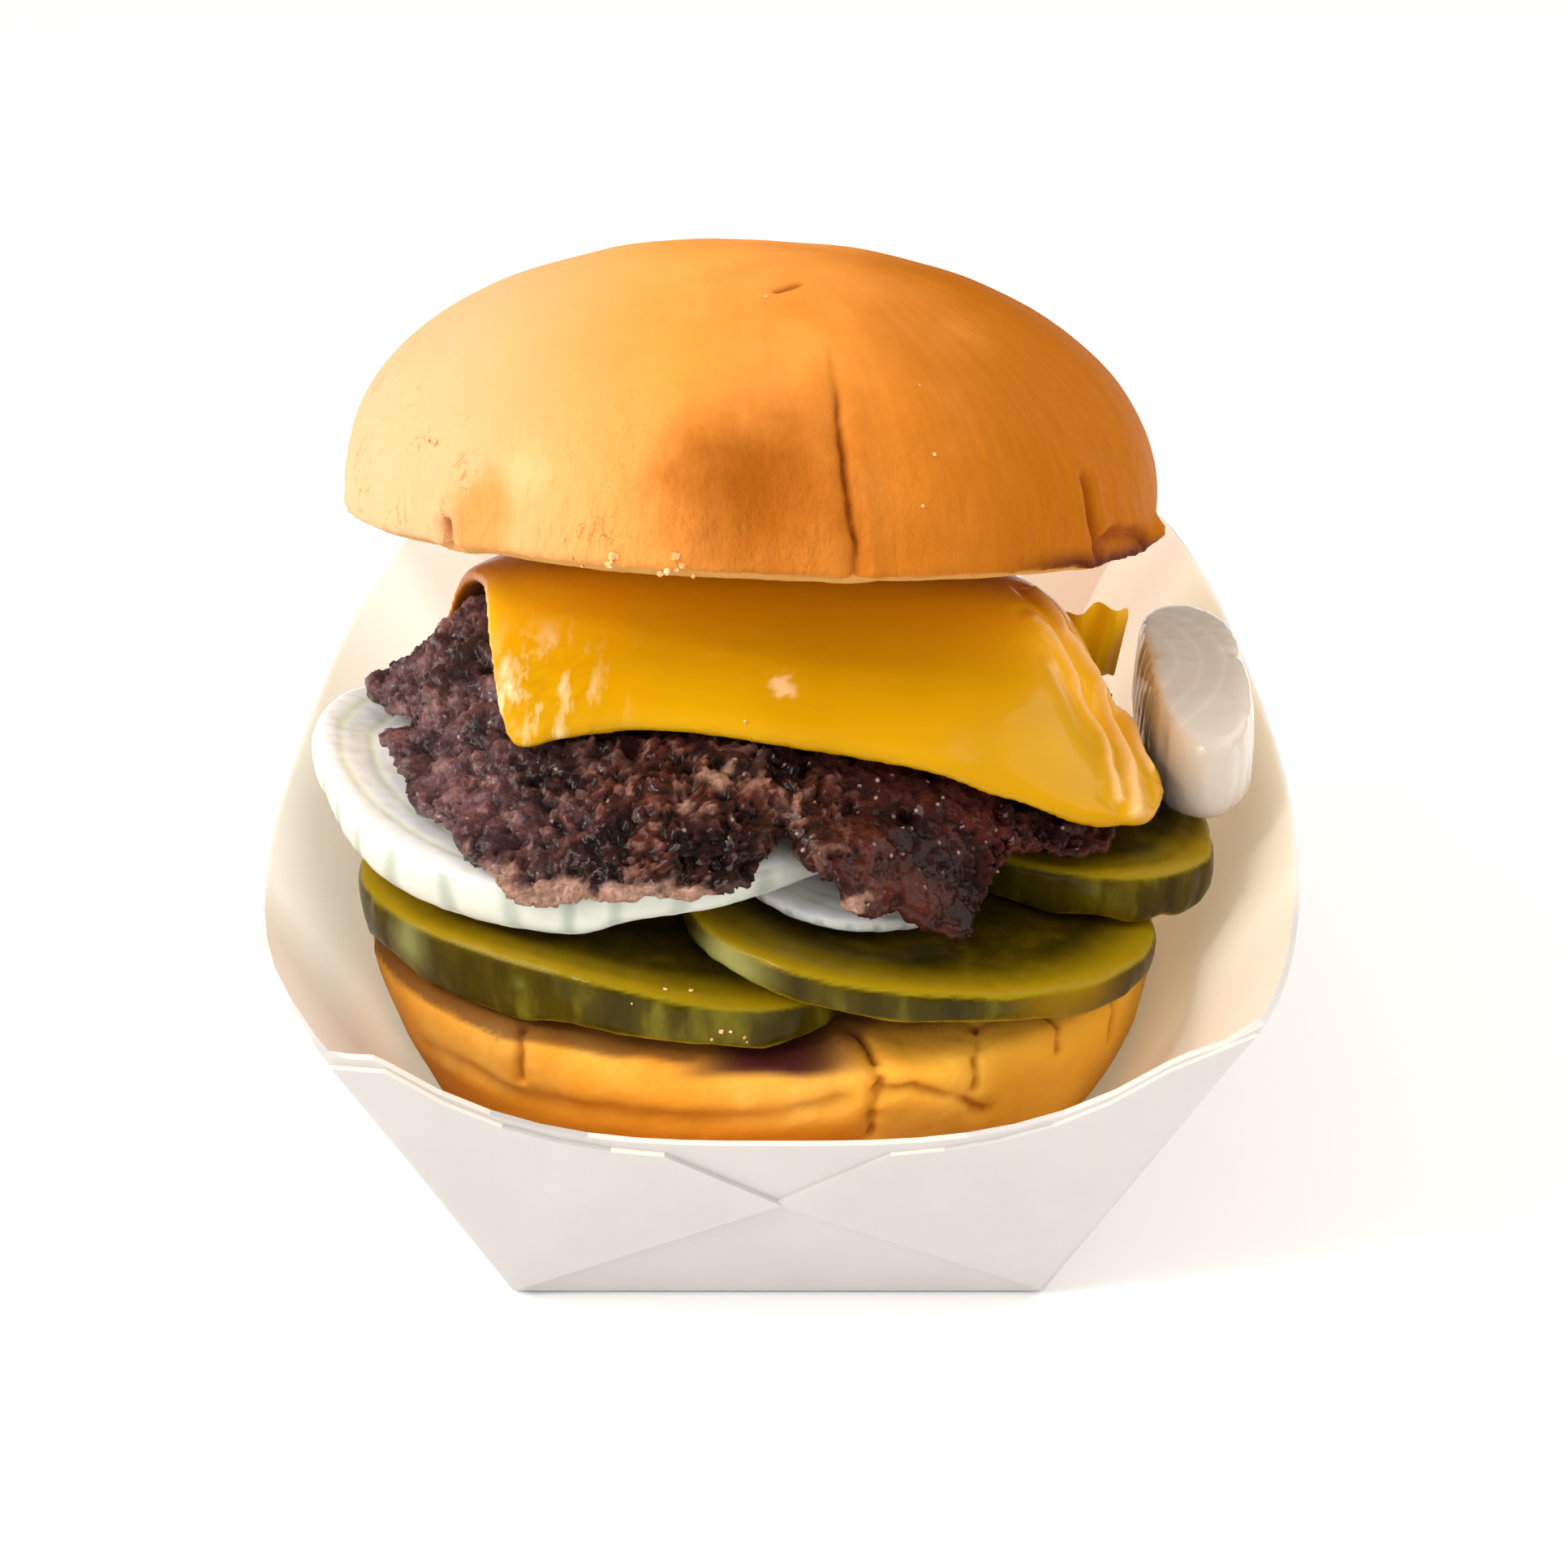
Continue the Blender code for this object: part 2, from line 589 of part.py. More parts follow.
def make_slices():
    """Pickle and onion slices."""
    pickle = material("pickle", (0.3, 0.3, 0.03), 0.35)
    onion = material("raw_onion", (0.86, 0.9, 0.78), 0.3)
    slice_body("pickle_front_left", PICKLE_LEFT, 38, (0.3, 0.72), pickle_left_top, pickle_left_under, pickle)
    slice_body("pickle_front_right", PICKLE_RIGHT, 38, (0.3, 0.72), pickle_right_top, pickle_right_under, pickle)
    slice_body("pickle_back_right", PICKLE_BACK, 36, (0.3, 0.72), pickle_back_top, pickle_back_under, pickle)
    slice_body("onion_under", ONION_UNDER, 36, (0.3, 0.72), onion_under_top, onion_under_low, onion)
    slice_body("onion_left", ONION_LEFT, 50, (0.24, 0.5, 0.66, 0.79, 0.9), onion_left_top, onion_left_low,
               onion)
    slice_body("onion_right", ONION_RIGHT, 32, (0.4, 0.8), onion_right_top, onion_right_low, onion, lean=0.9)


def main():
    for obj in list(bpy.data.objects):
        bpy.data.objects.remove(obj)
    make_tray()
    make_heel()
    make_slices()
    make_patty()
    make_cheese()
    make_crown()


main()
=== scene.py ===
"""Looks of the cheeseburger in an open card tray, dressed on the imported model."""
import math

import bmesh
import bpy
import numpy as np
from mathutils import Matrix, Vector, noise


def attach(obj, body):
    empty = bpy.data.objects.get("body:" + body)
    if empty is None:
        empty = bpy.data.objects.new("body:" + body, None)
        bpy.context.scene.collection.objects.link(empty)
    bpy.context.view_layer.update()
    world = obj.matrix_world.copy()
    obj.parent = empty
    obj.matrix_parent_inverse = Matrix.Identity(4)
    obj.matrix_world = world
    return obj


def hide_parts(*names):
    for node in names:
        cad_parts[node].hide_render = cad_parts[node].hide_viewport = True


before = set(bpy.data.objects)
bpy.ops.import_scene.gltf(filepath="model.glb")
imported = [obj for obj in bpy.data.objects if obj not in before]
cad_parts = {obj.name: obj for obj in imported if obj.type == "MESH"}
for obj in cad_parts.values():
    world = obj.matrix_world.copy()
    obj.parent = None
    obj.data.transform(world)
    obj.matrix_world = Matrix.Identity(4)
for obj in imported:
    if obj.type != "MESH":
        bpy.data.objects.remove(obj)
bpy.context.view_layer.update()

# The tray is folded from one white paperboard blank: a flat base, two rounded side
# walls and two end walls with a curved rim, held by corner flaps glued on outside.
# The board is uncoated, so it is matt, with a faint cloud in its white, and thin enough
# for light to glow through the side walls. Its fibres are finer than 0.1 mm, and are
# drawn wider here so that they show.
DOUBLED_FROM, DOUBLED_TO = 0.05, 0.062  # m from the middle, where the flaps make the ends opaque
INSIDE_UP = 0.05                        # the least upward slope of an inner face


def linear(code):
    """An sRGB hex colour as linear RGBA."""
    parts = [int(code[i:i + 2], 16) / 255.0 for i in (1, 3, 5)]
    return [p / 12.92 if p <= 0.04045 else ((p + 0.055) / 1.055) ** 2.4 for p in parts] + [1.0]


def add(tree, kind, values=(), feeds=(), stops=(), **settings):
    """Adds a shader node with its settings, input values, incoming links and ramp stops."""
    made = tree.nodes.new("ShaderNode" + kind)
    for key, value in settings.items():
        setattr(made, key, value)
    for key, value in dict(values).items():
        made.inputs[key].default_value = value
    for key, socket in dict(feeds).items():
        tree.links.new(socket, made.inputs[key])
    for i, (place, code) in enumerate(stops):
        ramp = made.color_ramp.elements
        stop = ramp[i] if i < 2 else ramp.new(place)
        stop.position, stop.color = place, linear(code)
    return made


def spaced(width):
    """The scale of a pattern on coordinates in m whose marks are width in mm."""
    return 1000.0 / width


def finish(name, roughness, **sockets):
    """A new material with its constants set on the shader's own sockets."""
    made = bpy.data.materials.new(name)
    made.use_nodes = True
    shader = made.node_tree.nodes["Principled BSDF"]
    shader.inputs["Roughness"].default_value = roughness
    for key, value in sockets.items():
        shader.inputs[key.replace("_", " ")].default_value = value
    return made, made.node_tree, shader


def merged_copy(name, node):
    """A copy of a CAD solid with its loose triangles merged."""
    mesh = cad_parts[node].data.copy()
    bm = bmesh.new()
    bm.from_mesh(mesh)
    bmesh.ops.remove_doubles(bm, verts=bm.verts, dist=0.000001)
    bmesh.ops.recalc_face_normals(bm, faces=bm.faces)
    bm.to_mesh(mesh)
    bm.free()
    mesh.materials.clear()
    if "custom_normal" in mesh.attributes:
        mesh.attributes.remove(mesh.attributes["custom_normal"])
    piece = bpy.data.objects.new(name, mesh)
    bpy.context.scene.collection.objects.link(piece)
    return piece


def place(piece, node, slot, material):
    """Gives a finished piece its material and lets it stand for its CAD solid."""
    piece.data.materials.clear()
    piece.data.materials.append(material)
    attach(piece, "root")
    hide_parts(node)


board, tree, shader = finish("uncoated_paperboard", 0.62, IOR=1.45, Subsurface_Scale=0.0035)
shader.inputs["Subsurface Radius"].default_value = (1.0, 0.85, 0.7)
where = add(tree, "TexCoord").outputs["Object"]
cloud = add(tree, "TexNoise", {"Scale": spaced(11.1), "Detail": 4.0}, {"Vector": where})
tone = add(tree, "ValToRGB", feeds={"Fac": cloud.outputs["Fac"]},
           stops=((0.3, "#C8C5C2"), (0.7, "#CECAC7")))
spot = add(tree, "SeparateXYZ", feeds={0: where})
ends = add(tree, "Math", feeds={0: spot.outputs["Y"]}, operation="ABSOLUTE")
thin = add(tree, "MapRange",
           {"From Min": DOUBLED_FROM, "From Max": DOUBLED_TO, "To Min": 1.0, "To Max": 0.1},
           {"Value": ends.outputs["Value"]})
tree.links.new(thin.outputs["Result"], shader.inputs["Subsurface Weight"])
# Inner faces are tinted cream as painted light bounced from the bun, and turn a darker beige towards the
# right as painted shade.
lit = add(tree, "Attribute", attribute_name="inner")
away = add(tree, "MapRange", {"From Min": 0.0, "From Max": 0.05}, {"Value": spot.outputs["X"]})
cream = add(tree, "Mix", {6: linear("#FFF0E2"), 7: linear("#F0DAC6")}, {0: away.outputs["Result"]},
            data_type="RGBA")
warm = add(tree, "Mix", feeds={0: lit.outputs["Fac"], 6: tone.outputs["Color"], 7: cream.outputs[2]},
           data_type="RGBA")
tree.links.new(warm.outputs[2], shader.inputs["Base Color"])
fibre = add(tree, "TexNoise", {"Scale": spaced(0.455), "Detail": 3.0}, {"Vector": where})
dimple = add(tree, "Bump", {"Strength": 0.12, "Distance": 0.0001}, {"Height": fibre.outputs["Fac"]})
tree.links.new(dimple.outputs["Normal"], shader.inputs["Normal"])

tray = merged_copy("card_tray", "tray")
tray.data.polygons.foreach_set("use_smooth", [True] * len(tray.data.polygons))
tray.data.set_sharp_from_angle(angle=math.radians(9))
flat = tray.modifiers.new("flat_panels", "WEIGHTED_NORMAL")
flat.weight, flat.keep_sharp = 100, True
inner = tray.data.attributes.new("inner", "FLOAT", "FACE")
inner.data.foreach_set("value", [float(f.normal.z > 0.9 or f.normal.z > INSIDE_UP and
                                       f.normal.x * f.center.x + 0.6 * f.normal.y * f.center.y < 0.0)
                                 for f in tray.data.polygons])
place(tray, "tray", "white_card", board)

# The heel is the lower half of a soft milk bun, squeezed between the side walls. Its
# thin golden crust has split into short cracks and creases under the load, and the rim of its
# cut face is nearly black in front, toast and painted shade under the pickles. Unglazed crust is matt.
HEEL_CRACKS = (  # places along each crack, its width and its depth, in mm
    (((-28.1, -61.8, 34.9), (-28.7, -64.1, 33.2), (-28.9, -63.6, 29.2)), 0.55, 0.9),
    (((8.8, -62.3, 34.6), (10.8, -67.2, 33.8), (11.3, -68.1, 31.3), (10.6, -67.3, 27.8),
      (10.2, -66.6, 24.3)), 0.55, 1.2),
    (((22.4, -60.1, 33.9), (22.1, -65.2, 32.6), (21.9, -65.3, 29.0)), 0.5, 0.9),
    (((10.9, -68.0, 30.6), (15.0, -67.7, 30.3), (19.8, -66.5, 28.6), (23.3, -63.5, 24.8)), 0.7, 0.9),
    (((29.8, -55.9, 33.6), (31.5, -58.3, 33.2), (31.8, -59.0, 30.0)), 0.5, 0.6),
    (((40.2, -46.5, 33.1), (39.0, -50.8, 32.3), (38.6, -51.0, 27.0)), 0.6, 0.8),
    (((-40.0, -51.0, 34.0), (-40.4, -52.0, 29.0)), 0.6, 0.6),
)
# A shallow fold runs round the left half, where the crust has buckled.
HEEL_BAND = ((-40.0, -54.0, 28.4), (-33.8, -61.1, 27.7), (-28.8, -63.1, 26.5), (-19.0, -67.6, 27.2),
             (-10.6, -68.8, 26.9), (-3.3, -69.3, 27.2), (2.5, -69.4, 28.5), (7.2, -68.9, 29.5))
WALL_HALF, WALL_LEAN = 31.05, 0.64  # half the tray's width at its base, and its growth per mm of height
LIP_AT, LIP_WIDE, LIP_UP = 2.2, 1.4, 0.25  # the raised lip beside each crack


def even_skin(name, node, voxel, passes=2):
    """The solid rounded off and remeshed to an even skin of faces as wide as voxel in mm, then smoothed."""
    piece = merged_copy(name, node)
    bm = bmesh.new()
    bm.from_mesh(piece.data)
    bmesh.ops.join_triangles(bm, faces=bm.faces, angle_face_threshold=0.9, angle_shape_threshold=1.4)
    bm.to_mesh(piece.data)
    bm.free()
    round_off = piece.modifiers.new("round_off", "SUBSURF")
    round_off.levels = round_off.render_levels = 2
    even = piece.modifiers.new("even", "REMESH")
    even.mode = "VOXEL"
    even.voxel_size = voxel * 0.001
    calm = piece.modifiers.new("calm", "SMOOTH")
    calm.factor, calm.iterations = 0.5, passes
    shaped = bpy.data.meshes.new_from_object(piece.evaluated_get(bpy.context.evaluated_depsgraph_get()))
    piece.modifiers.clear()
    piece.data = shaped
    piece.data.name = name
    piece.data.polygons.foreach_set("use_smooth", [True] * len(shaped.polygons))
    return piece


def refine(piece, paths, reach):
    """Halves the faces within reach in mm of any of the paths, so that narrow cracks can be cut in."""
    bm = bmesh.new()
    bm.from_mesh(piece.data)
    places = np.array([v.co for v in bm.verts]) * 1000.0
    near = np.min([along(places, path) for path in paths], axis=0) < reach
    edges = [e for e in bm.edges if near[e.verts[0].index] and near[e.verts[1].index]]
    bmesh.ops.subdivide_edges(bm, edges=edges, cuts=1, use_grid_fill=True)
    bm.to_mesh(piece.data)
    bm.free()
    piece.data.polygons.foreach_set("use_smooth", [True] * len(piece.data.polygons))


def points_of(piece):
    """Places in mm and normals of the points of a piece."""
    count = len(piece.data.vertices)
    places, normals = np.zeros(count * 3), np.zeros(count * 3)
    piece.data.vertices.foreach_get("co", places)
    piece.data.vertices.foreach_get("normal", normals)
    return places.reshape(-1, 3) * 1000.0, normals.reshape(-1, 3)


def shape(piece, places, normals, push, marks):
    """Moves the points along their normals by push in mm, and keeps three marks for the material."""
    moved = (places + normals * np.asarray(push)[:, None]) / 1000.0
    piece.data.vertices.foreach_set("co", moved.ravel())
    kept = piece.data.attributes.new("mark", "FLOAT_VECTOR", "POINT")
    kept.data.foreach_set("vector", np.column_stack(marks).ravel())
    piece.data.update()


def lumps(places, size, octaves=1, shift=0.0):
    """Smooth noise between about -1 and 1; size is the width of its lumps in mm."""
    offset = Vector((shift, shift * 0.7, shift * 1.3))
    return np.array([noise.fractal(Vector(p) / size + offset, 0.8, 2.1, octaves) for p in places])


def grains(places, size, shift=0.0):
    """How far each point is from the gap between two grains, and a number for its grain."""
    offset = Vector((shift, shift * 0.7, shift * 1.3))
    found = [noise.voronoi(Vector(p) / size + offset) for p in places]
    edge = np.array([f[0][1] - f[0][0] for f in found])
    own = np.array([noise.cell(f[1][0] * 7.3) for f in found])
    return edge, own


def along(places, path):
    """Distance of each point from a path of straight runs."""
    best = np.full(len(places), 1e9)
    for a, b in zip(path, path[1:]):
        a, run = np.array(a), np.array(b) - np.array(a)
        part = np.clip(((places - a) @ run) / max(run @ run, 0.000001), 0.0, 1.0)
        best = np.minimum(best, np.linalg.norm(places - a - part[:, None] * run, axis=1))
    return best


def ease(values, low, high):
    """0 below low, 1 above high, eased between."""
    t = np.clip((values - low) / (high - low), 0.0, 1.0)
    return t * t * (3.0 - 2.0 * t)


heel = even_skin("heel", "bottom_bun", 0.75, 12)
refine(heel, [path for path, _, _ in HEEL_CRACKS], 2.4)
places, normals = points_of(heel)
x, y, z = places.T
# The crust is uneven by about a quarter of a millimetre.
wobble = lumps(places, 9.0, 2)
push = 0.28 * wobble + 0.08 * lumps(places, 2.4, 2, 5.0)
split = np.zeros(len(places))
bent = places + np.column_stack([lumps(places, 3.4, 2, k) * 0.45 for k in (11.0, 23.0, 37.0)])
for path, width, depth in HEEL_CRACKS:
    gap = along(bent, path)
    push -= 0.75 * depth * np.exp(-(gap / width) ** 2) - LIP_UP * np.exp(-((gap - LIP_AT) / LIP_WIDE) ** 2)
    split = np.maximum(split, 0.85 * np.exp(-(gap / (width * 0.8)) ** 2))
band = along(bent, HEEL_BAND)
push -= 0.9 * np.exp(-(band / 1.3) ** 2)
split = np.maximum(split, 0.45 * np.exp(-(band / 0.9) ** 2))
# The marks are the cracks, darkened as painted shade, the browner crust below the fold, and the rim, dark
# with toast and painted shade under the pickles.
lower = ease(-z, -27.5, -25.0) * (1.0 - ease(x, 6.0, 12.0))
toast = ease(z + 0.5 * wobble, 32.2, 33.6) * ease(-y, 55.0, 60.0) * np.exp(-((x + 0.5) / 9.5) ** 4)
toast = np.maximum(toast, 0.75 * ease(z + 0.4 * wobble, 33.9, 34.5))
# Where the tray's walls press on the crust it has no relief.
side = np.abs(x) / (WALL_HALF + WALL_LEAN * z)
push *= 1.0 - ease(side, 0.93, 0.98)
shape(heel, places, normals, push, (split, lower, toast))

crust, tree, shader = finish("soft_bun_crust", 0.6, IOR=1.45, Subsurface_Weight=0.12,
                             Subsurface_Scale=0.002, Specular_IOR_Level=0.12)
where = add(tree, "TexCoord").outputs["Object"]
marks = add(tree, "SeparateXYZ", feeds={0: add(tree, "Attribute", attribute_name="mark").outputs["Vector"]})
patch = add(tree, "TexNoise", {"Scale": spaced(11.8), "Detail": 4.0, "Roughness": 0.6}, {"Vector": where})
tone = add(tree, "ValToRGB", feeds={"Fac": patch.outputs["Fac"]},
           stops=((0.34, "#EA9A2C"), (0.66, "#F8BA54"), (0.5, "#F2AA3E")))
spot = add(tree, "SeparateXYZ", feeds={0: where})
# Right of the middle the crust is painted brighter, painted light against the shade of the tray's wall.
right = add(tree, "MapRange", {"From Min": 0.004, "From Max": 0.034}, {"Value": spot.outputs["X"]})
tone = add(tree, "Mix", {7: linear("#FFC03C")}, {0: right.outputs["Result"], 6: tone.outputs["Color"]},
           data_type="RGBA")
base = add(tree, "Mix", {7: linear("#E49426")}, {0: marks.outputs["Y"], 6: tone.outputs[2]},
           data_type="RGBA")
# The cracks and the fold are painted darker, painted shade in them.
lines = add(tree, "Mix", {7: linear("#B06A16")}, {0: marks.outputs["X"], 6: base.outputs[2]},
            data_type="RGBA")
# The rim is painted nearly black, partly toast and partly painted shade under the pickles.
rim = add(tree, "Mix", {7: linear("#4A1E1A")}, {0: marks.outputs["Z"], 6: lines.outputs[2]},
          data_type="RGBA")
tree.links.new(rim.outputs[2], shader.inputs["Base Color"])
pores = add(tree, "TexNoise", {"Scale": spaced(1.43), "Detail": 5.0, "Roughness": 0.65}, {"Vector": where})
dimple = add(tree, "Bump", {"Strength": 0.35, "Distance": 0.0004}, {"Height": pores.outputs["Fac"]})
tree.links.new(dimple.outputs["Normal"], shader.inputs["Normal"])
place(heel, "bottom_bun", "bun_heel", crust)

# The pickles are thick crosswise slices of brined cucumber: wet, slightly clear flesh of
# an olive yellow, inside a dark green skin with paler streaks running through the slice.
# The skin is painted paler in a few places, painted highlights where brine stands on it.
PICKLES = (  # piece, node, and the slice's middle, half widths and turn, in mm and degrees
    ("pickle_left", "pickle_front_left", (-21.1, -46.9, 31.7, 18.0, -30.0)),
    ("pickle_right", "pickle_front_right", (15.7, -46.6, 28.8, 23.7, 16.4)),
    ("pickle_rear", "pickle_back_right", (34.4, -30.0, 17.8, 20.5, 0.0)),
)
# Each patch is a painted highlight, the shine of brine painted into the skin's colour.
MOIST = (  # where the skin looks pale with brine, in m, how far that reaches, and its colour
    ((-0.0424, -0.053, 0.0405), 0.008, "#9A9E62"),
    ((-0.007, -0.0633, 0.043), 0.009, "#A09C5C"),
    ((-0.0285, -0.0634, 0.0412), 0.005, "#6E7030"),
    ((-0.0047, -0.0651, 0.0437), 0.010, "#A4A05A"),
    ((0.032, -0.0647, 0.0403), 0.014, "#A07A0A"),
)
brined, tree, shader = finish("brined_cucumber", 0.3, IOR=1.38, Subsurface_Weight=0.3,
                              Subsurface_Scale=0.003, Specular_IOR_Level=0.06, Coat_Weight=0.12,
                              Coat_Roughness=0.05)
shader.inputs["Subsurface Radius"].default_value = (0.8, 1.0, 0.25)
where = add(tree, "TexCoord").outputs["Object"]
marks = add(tree, "SeparateXYZ", feeds={0: add(tree, "Attribute", attribute_name="mark").outputs["Vector"]})
mottle = add(tree, "TexNoise", {"Scale": spaced(6.25), "Detail": 5.0, "Roughness": 0.6}, {"Vector": where})
flesh = add(tree, "ValToRGB", feeds={"Fac": mottle.outputs["Fac"]},
            stops=((0.35, "#2C2202"), (0.7, "#564604"), (0.52, "#3C3002")))
# The middle of each slice keeps the dark flesh as painted shade from the patty above, and toward the rim it
# turns an olive yellow.
spoke = add(tree, "MapRange", {"From Min": 0.7, "From Max": 0.99}, {"Value": marks.outputs["Z"]},
            interpolation_type="SMOOTHSTEP")
outer = add(tree, "Mix", {7: linear("#94780A")}, {0: spoke.outputs["Result"], 6: flesh.outputs["Color"]},
            data_type="RGBA")
stretch = add(tree, "Mapping", {"Scale": (spaced(4.76), spaced(4.76), spaced(14.3))}, {"Vector": where})
streak = add(tree, "TexNoise", {"Scale": 1.0, "Detail": 4.0}, {"Vector": stretch.outputs["Vector"]})
skin = add(tree, "ValToRGB", feeds={"Fac": streak.outputs["Fac"]},
           stops=((0.36, "#342A02"), (0.78, "#7C721A"), (0.56, "#483C04")))
moist = skin.outputs["Color"]
for middle, far, code in MOIST:
    reach = add(tree, "VectorMath", {1: middle}, {0: where}, operation="DISTANCE")
    ragged = add(tree, "Math", {1: 0.006}, {0: streak.outputs["Fac"], 2: reach.outputs["Value"]},
                 operation="MULTIPLY_ADD")
    here = add(tree, "MapRange", {"From Min": far, "From Max": 0.003, "To Max": 0.75},
               {"Value": ragged.outputs["Value"]}, interpolation_type="SMOOTHSTEP")
    moist = add(tree, "Mix", {7: linear(code)}, {0: here.outputs["Result"], 6: moist},
                data_type="RGBA").outputs[2]
both = add(tree, "Mix", feeds={0: marks.outputs["X"], 6: outer.outputs[2], 7: moist},
           data_type="RGBA")
# Upper edges between skin and flesh are painted lighter, a painted highlight.
bright = add(tree, "Mix", {7: linear("#A08A14")}, {0: marks.outputs["Y"], 6: both.outputs[2]},
             data_type="RGBA")
tree.links.new(bright.outputs[2], shader.inputs["Base Color"])
ripple = add(tree, "TexNoise", {"Scale": spaced(2.63), "Detail": 4.0}, {"Vector": where})
dimple = add(tree, "Bump", {"Strength": 0.3, "Distance": 0.0004}, {"Height": ripple.outputs["Fac"]})
tree.links.new(dimple.outputs["Normal"], shader.inputs["Normal"])

# The marks are the skin, the upper edge between skin and flesh, painted lighter as a painted highlight, and
# the share of the way out, which leaves the middle in painted shade.
slices = {}
for name, node, (cx, cy, a, b, turn) in PICKLES:
    cut_round = even_skin(name, node, 0.5, 4)
    places, normals = points_of(cut_round)
    level = np.abs(normals[:, 2])
    rind = 1.0 - ease(level, 0.45, 0.8)
    turned = np.radians(turn)
    u = (places[:, 0] - cx) * np.cos(turned) + (places[:, 1] - cy) * np.sin(turned)
    v = -(places[:, 0] - cx) * np.sin(turned) + (places[:, 1] - cy) * np.cos(turned)
    share = np.hypot(u / a, v / b)
    around = np.arctan2(v / b, u / a)
    ribs = 0.1 * np.sin(around * 13.0 + 5.0 * lumps(places, 9.0)) * rind
    push = ribs + 0.12 * lumps(places, 3.0, 2) - 0.22 * (1.0 - rind) * np.exp(-((share - 0.86) / 0.05) ** 2)
    corner = np.exp(-((level - 0.6) / 0.16) ** 2) * (normals[:, 2] > 0.0)
    shape(cut_round, places, normals, push, (rind, 0.7 * corner, share))
    place(cut_round, node, "pickle", brined)
    slices[name] = cut_round

# The onions are raw white rings: a thick slice with its rings still together, a thin one
# under it and a thick curved piece on the right. The flesh is watery and lets light
# through, and shows fine lengthwise veins on the outside of each ring.
ONIONS = (  # piece, node, and the middle and half widths of its rings, in mm
    ("onion_thin", "onion_under", (9.5, -37.0, 18.0, 25.0)),
    ("onion_thick", "onion_left", (-19.2, -21.0, 37.9, 40.6)),
    ("onion_piece", "onion_right", (30.0, -13.0, 28.0, 30.0)),
)
RINGS = (0.9, 0.8, 0.69, 0.58, 0.46)  # shares of the half width at which a ring ends
VEINED_SIDES = 34                     # flat runs between veins, once round the outside
raw, tree, shader = finish("raw_onion_flesh", 0.22, IOR=1.37, Subsurface_Weight=0.5, Subsurface_Scale=0.004,
                           Coat_Weight=0.25, Coat_Roughness=0.1)
shader.inputs["Subsurface Radius"].default_value = (1.0, 1.0, 0.75)
where = add(tree, "TexCoord").outputs["Object"]
marks = add(tree, "SeparateXYZ", feeds={0: add(tree, "Attribute", attribute_name="mark").outputs["Vector"]})
stretch = add(tree, "Mapping", {"Scale": (spaced(2.63), spaced(2.63), spaced(20))}, {"Vector": where})
vein = add(tree, "TexNoise", {"Scale": 1.0, "Detail": 5.0}, {"Vector": stretch.outputs["Vector"]})
tone = add(tree, "ValToRGB", feeds={"Fac": vein.outputs["Fac"]},
           stops=((0.34, "#F6F9EE"), (0.7, "#FFFFFF")))
# Outer sides, and the creases between their flat runs, are painted darker, painted shade.
shaded = add(tree, "Mix", {7: linear("#DDE1D6")}, {0: marks.outputs["Z"], 6: tone.outputs["Color"]},
             data_type="RGBA")
shaded = add(tree, "Mix", {7: linear("#BCC5B8")}, {0: marks.outputs["Y"], 6: shaded.outputs[2]},
             data_type="RGBA")
spot = add(tree, "SeparateXYZ", feeds={0: where})
# The piece at the far right is painted a greyer beige, painted shade on the burger's right side.
right = add(tree, "MapRange", {"From Min": 0.038, "From Max": 0.048}, {"Value": spot.outputs["X"]})
shaded = add(tree, "Mix", {7: linear("#D0C6BA")}, {0: right.outputs["Result"], 6: shaded.outputs[2]},
             data_type="RGBA")
ringed = add(tree, "Mix", {7: linear("#EEF3DC")}, {0: marks.outputs["X"], 6: shaded.outputs[2]},
             data_type="RGBA")
tree.links.new(ringed.outputs[2], shader.inputs["Base Color"])
dimple = add(tree, "Bump", {"Strength": 0.2, "Distance": 0.0003}, {"Height": vein.outputs["Fac"]})
tree.links.new(dimple.outputs["Normal"], shader.inputs["Normal"])

# The marks are the rings' ends, the creases between the flat runs, painted darker as painted shade, and the
# outer side, painted darker than the tops as painted shade.
for name, node, (cx, cy, a, b) in ONIONS:
    cut_round = even_skin(name, node, 0.5, 4)
    places, normals = points_of(cut_round)
    level = np.abs(normals[:, 2])
    side = 1.0 - ease(level, 0.5, 0.85)
    share = np.hypot((places[:, 0] - cx) / a, (places[:, 1] - cy) / b) + 0.012 * lumps(places, 8.0)
    around = np.arctan2((places[:, 1] - cy) / b, (places[:, 0] - cx) / a)
    ring = np.max([np.exp(-((share - r) / 0.012) ** 2) for r in RINGS], axis=0) * (1.0 - side)
    ring *= 1.0 - 0.8 * ease(places[:, 0], 36.0, 40.0)  # the piece on the right shows its rings faintly
    facet = np.abs(np.mod(around * VEINED_SIDES / (2 * np.pi) + 0.5 * lumps(places, 14.0), 1.0) - 0.5) * 2.0
    push = -0.12 * ring - 0.18 * side * ease(facet, 0.5, 1.0) + 0.08 * lumps(places, 2.5, 2)
    shape(cut_round, places, normals, push, (ring, ease(facet, 0.55, 0.95) * side, side))
    place(cut_round, node, "raw_onion", raw)

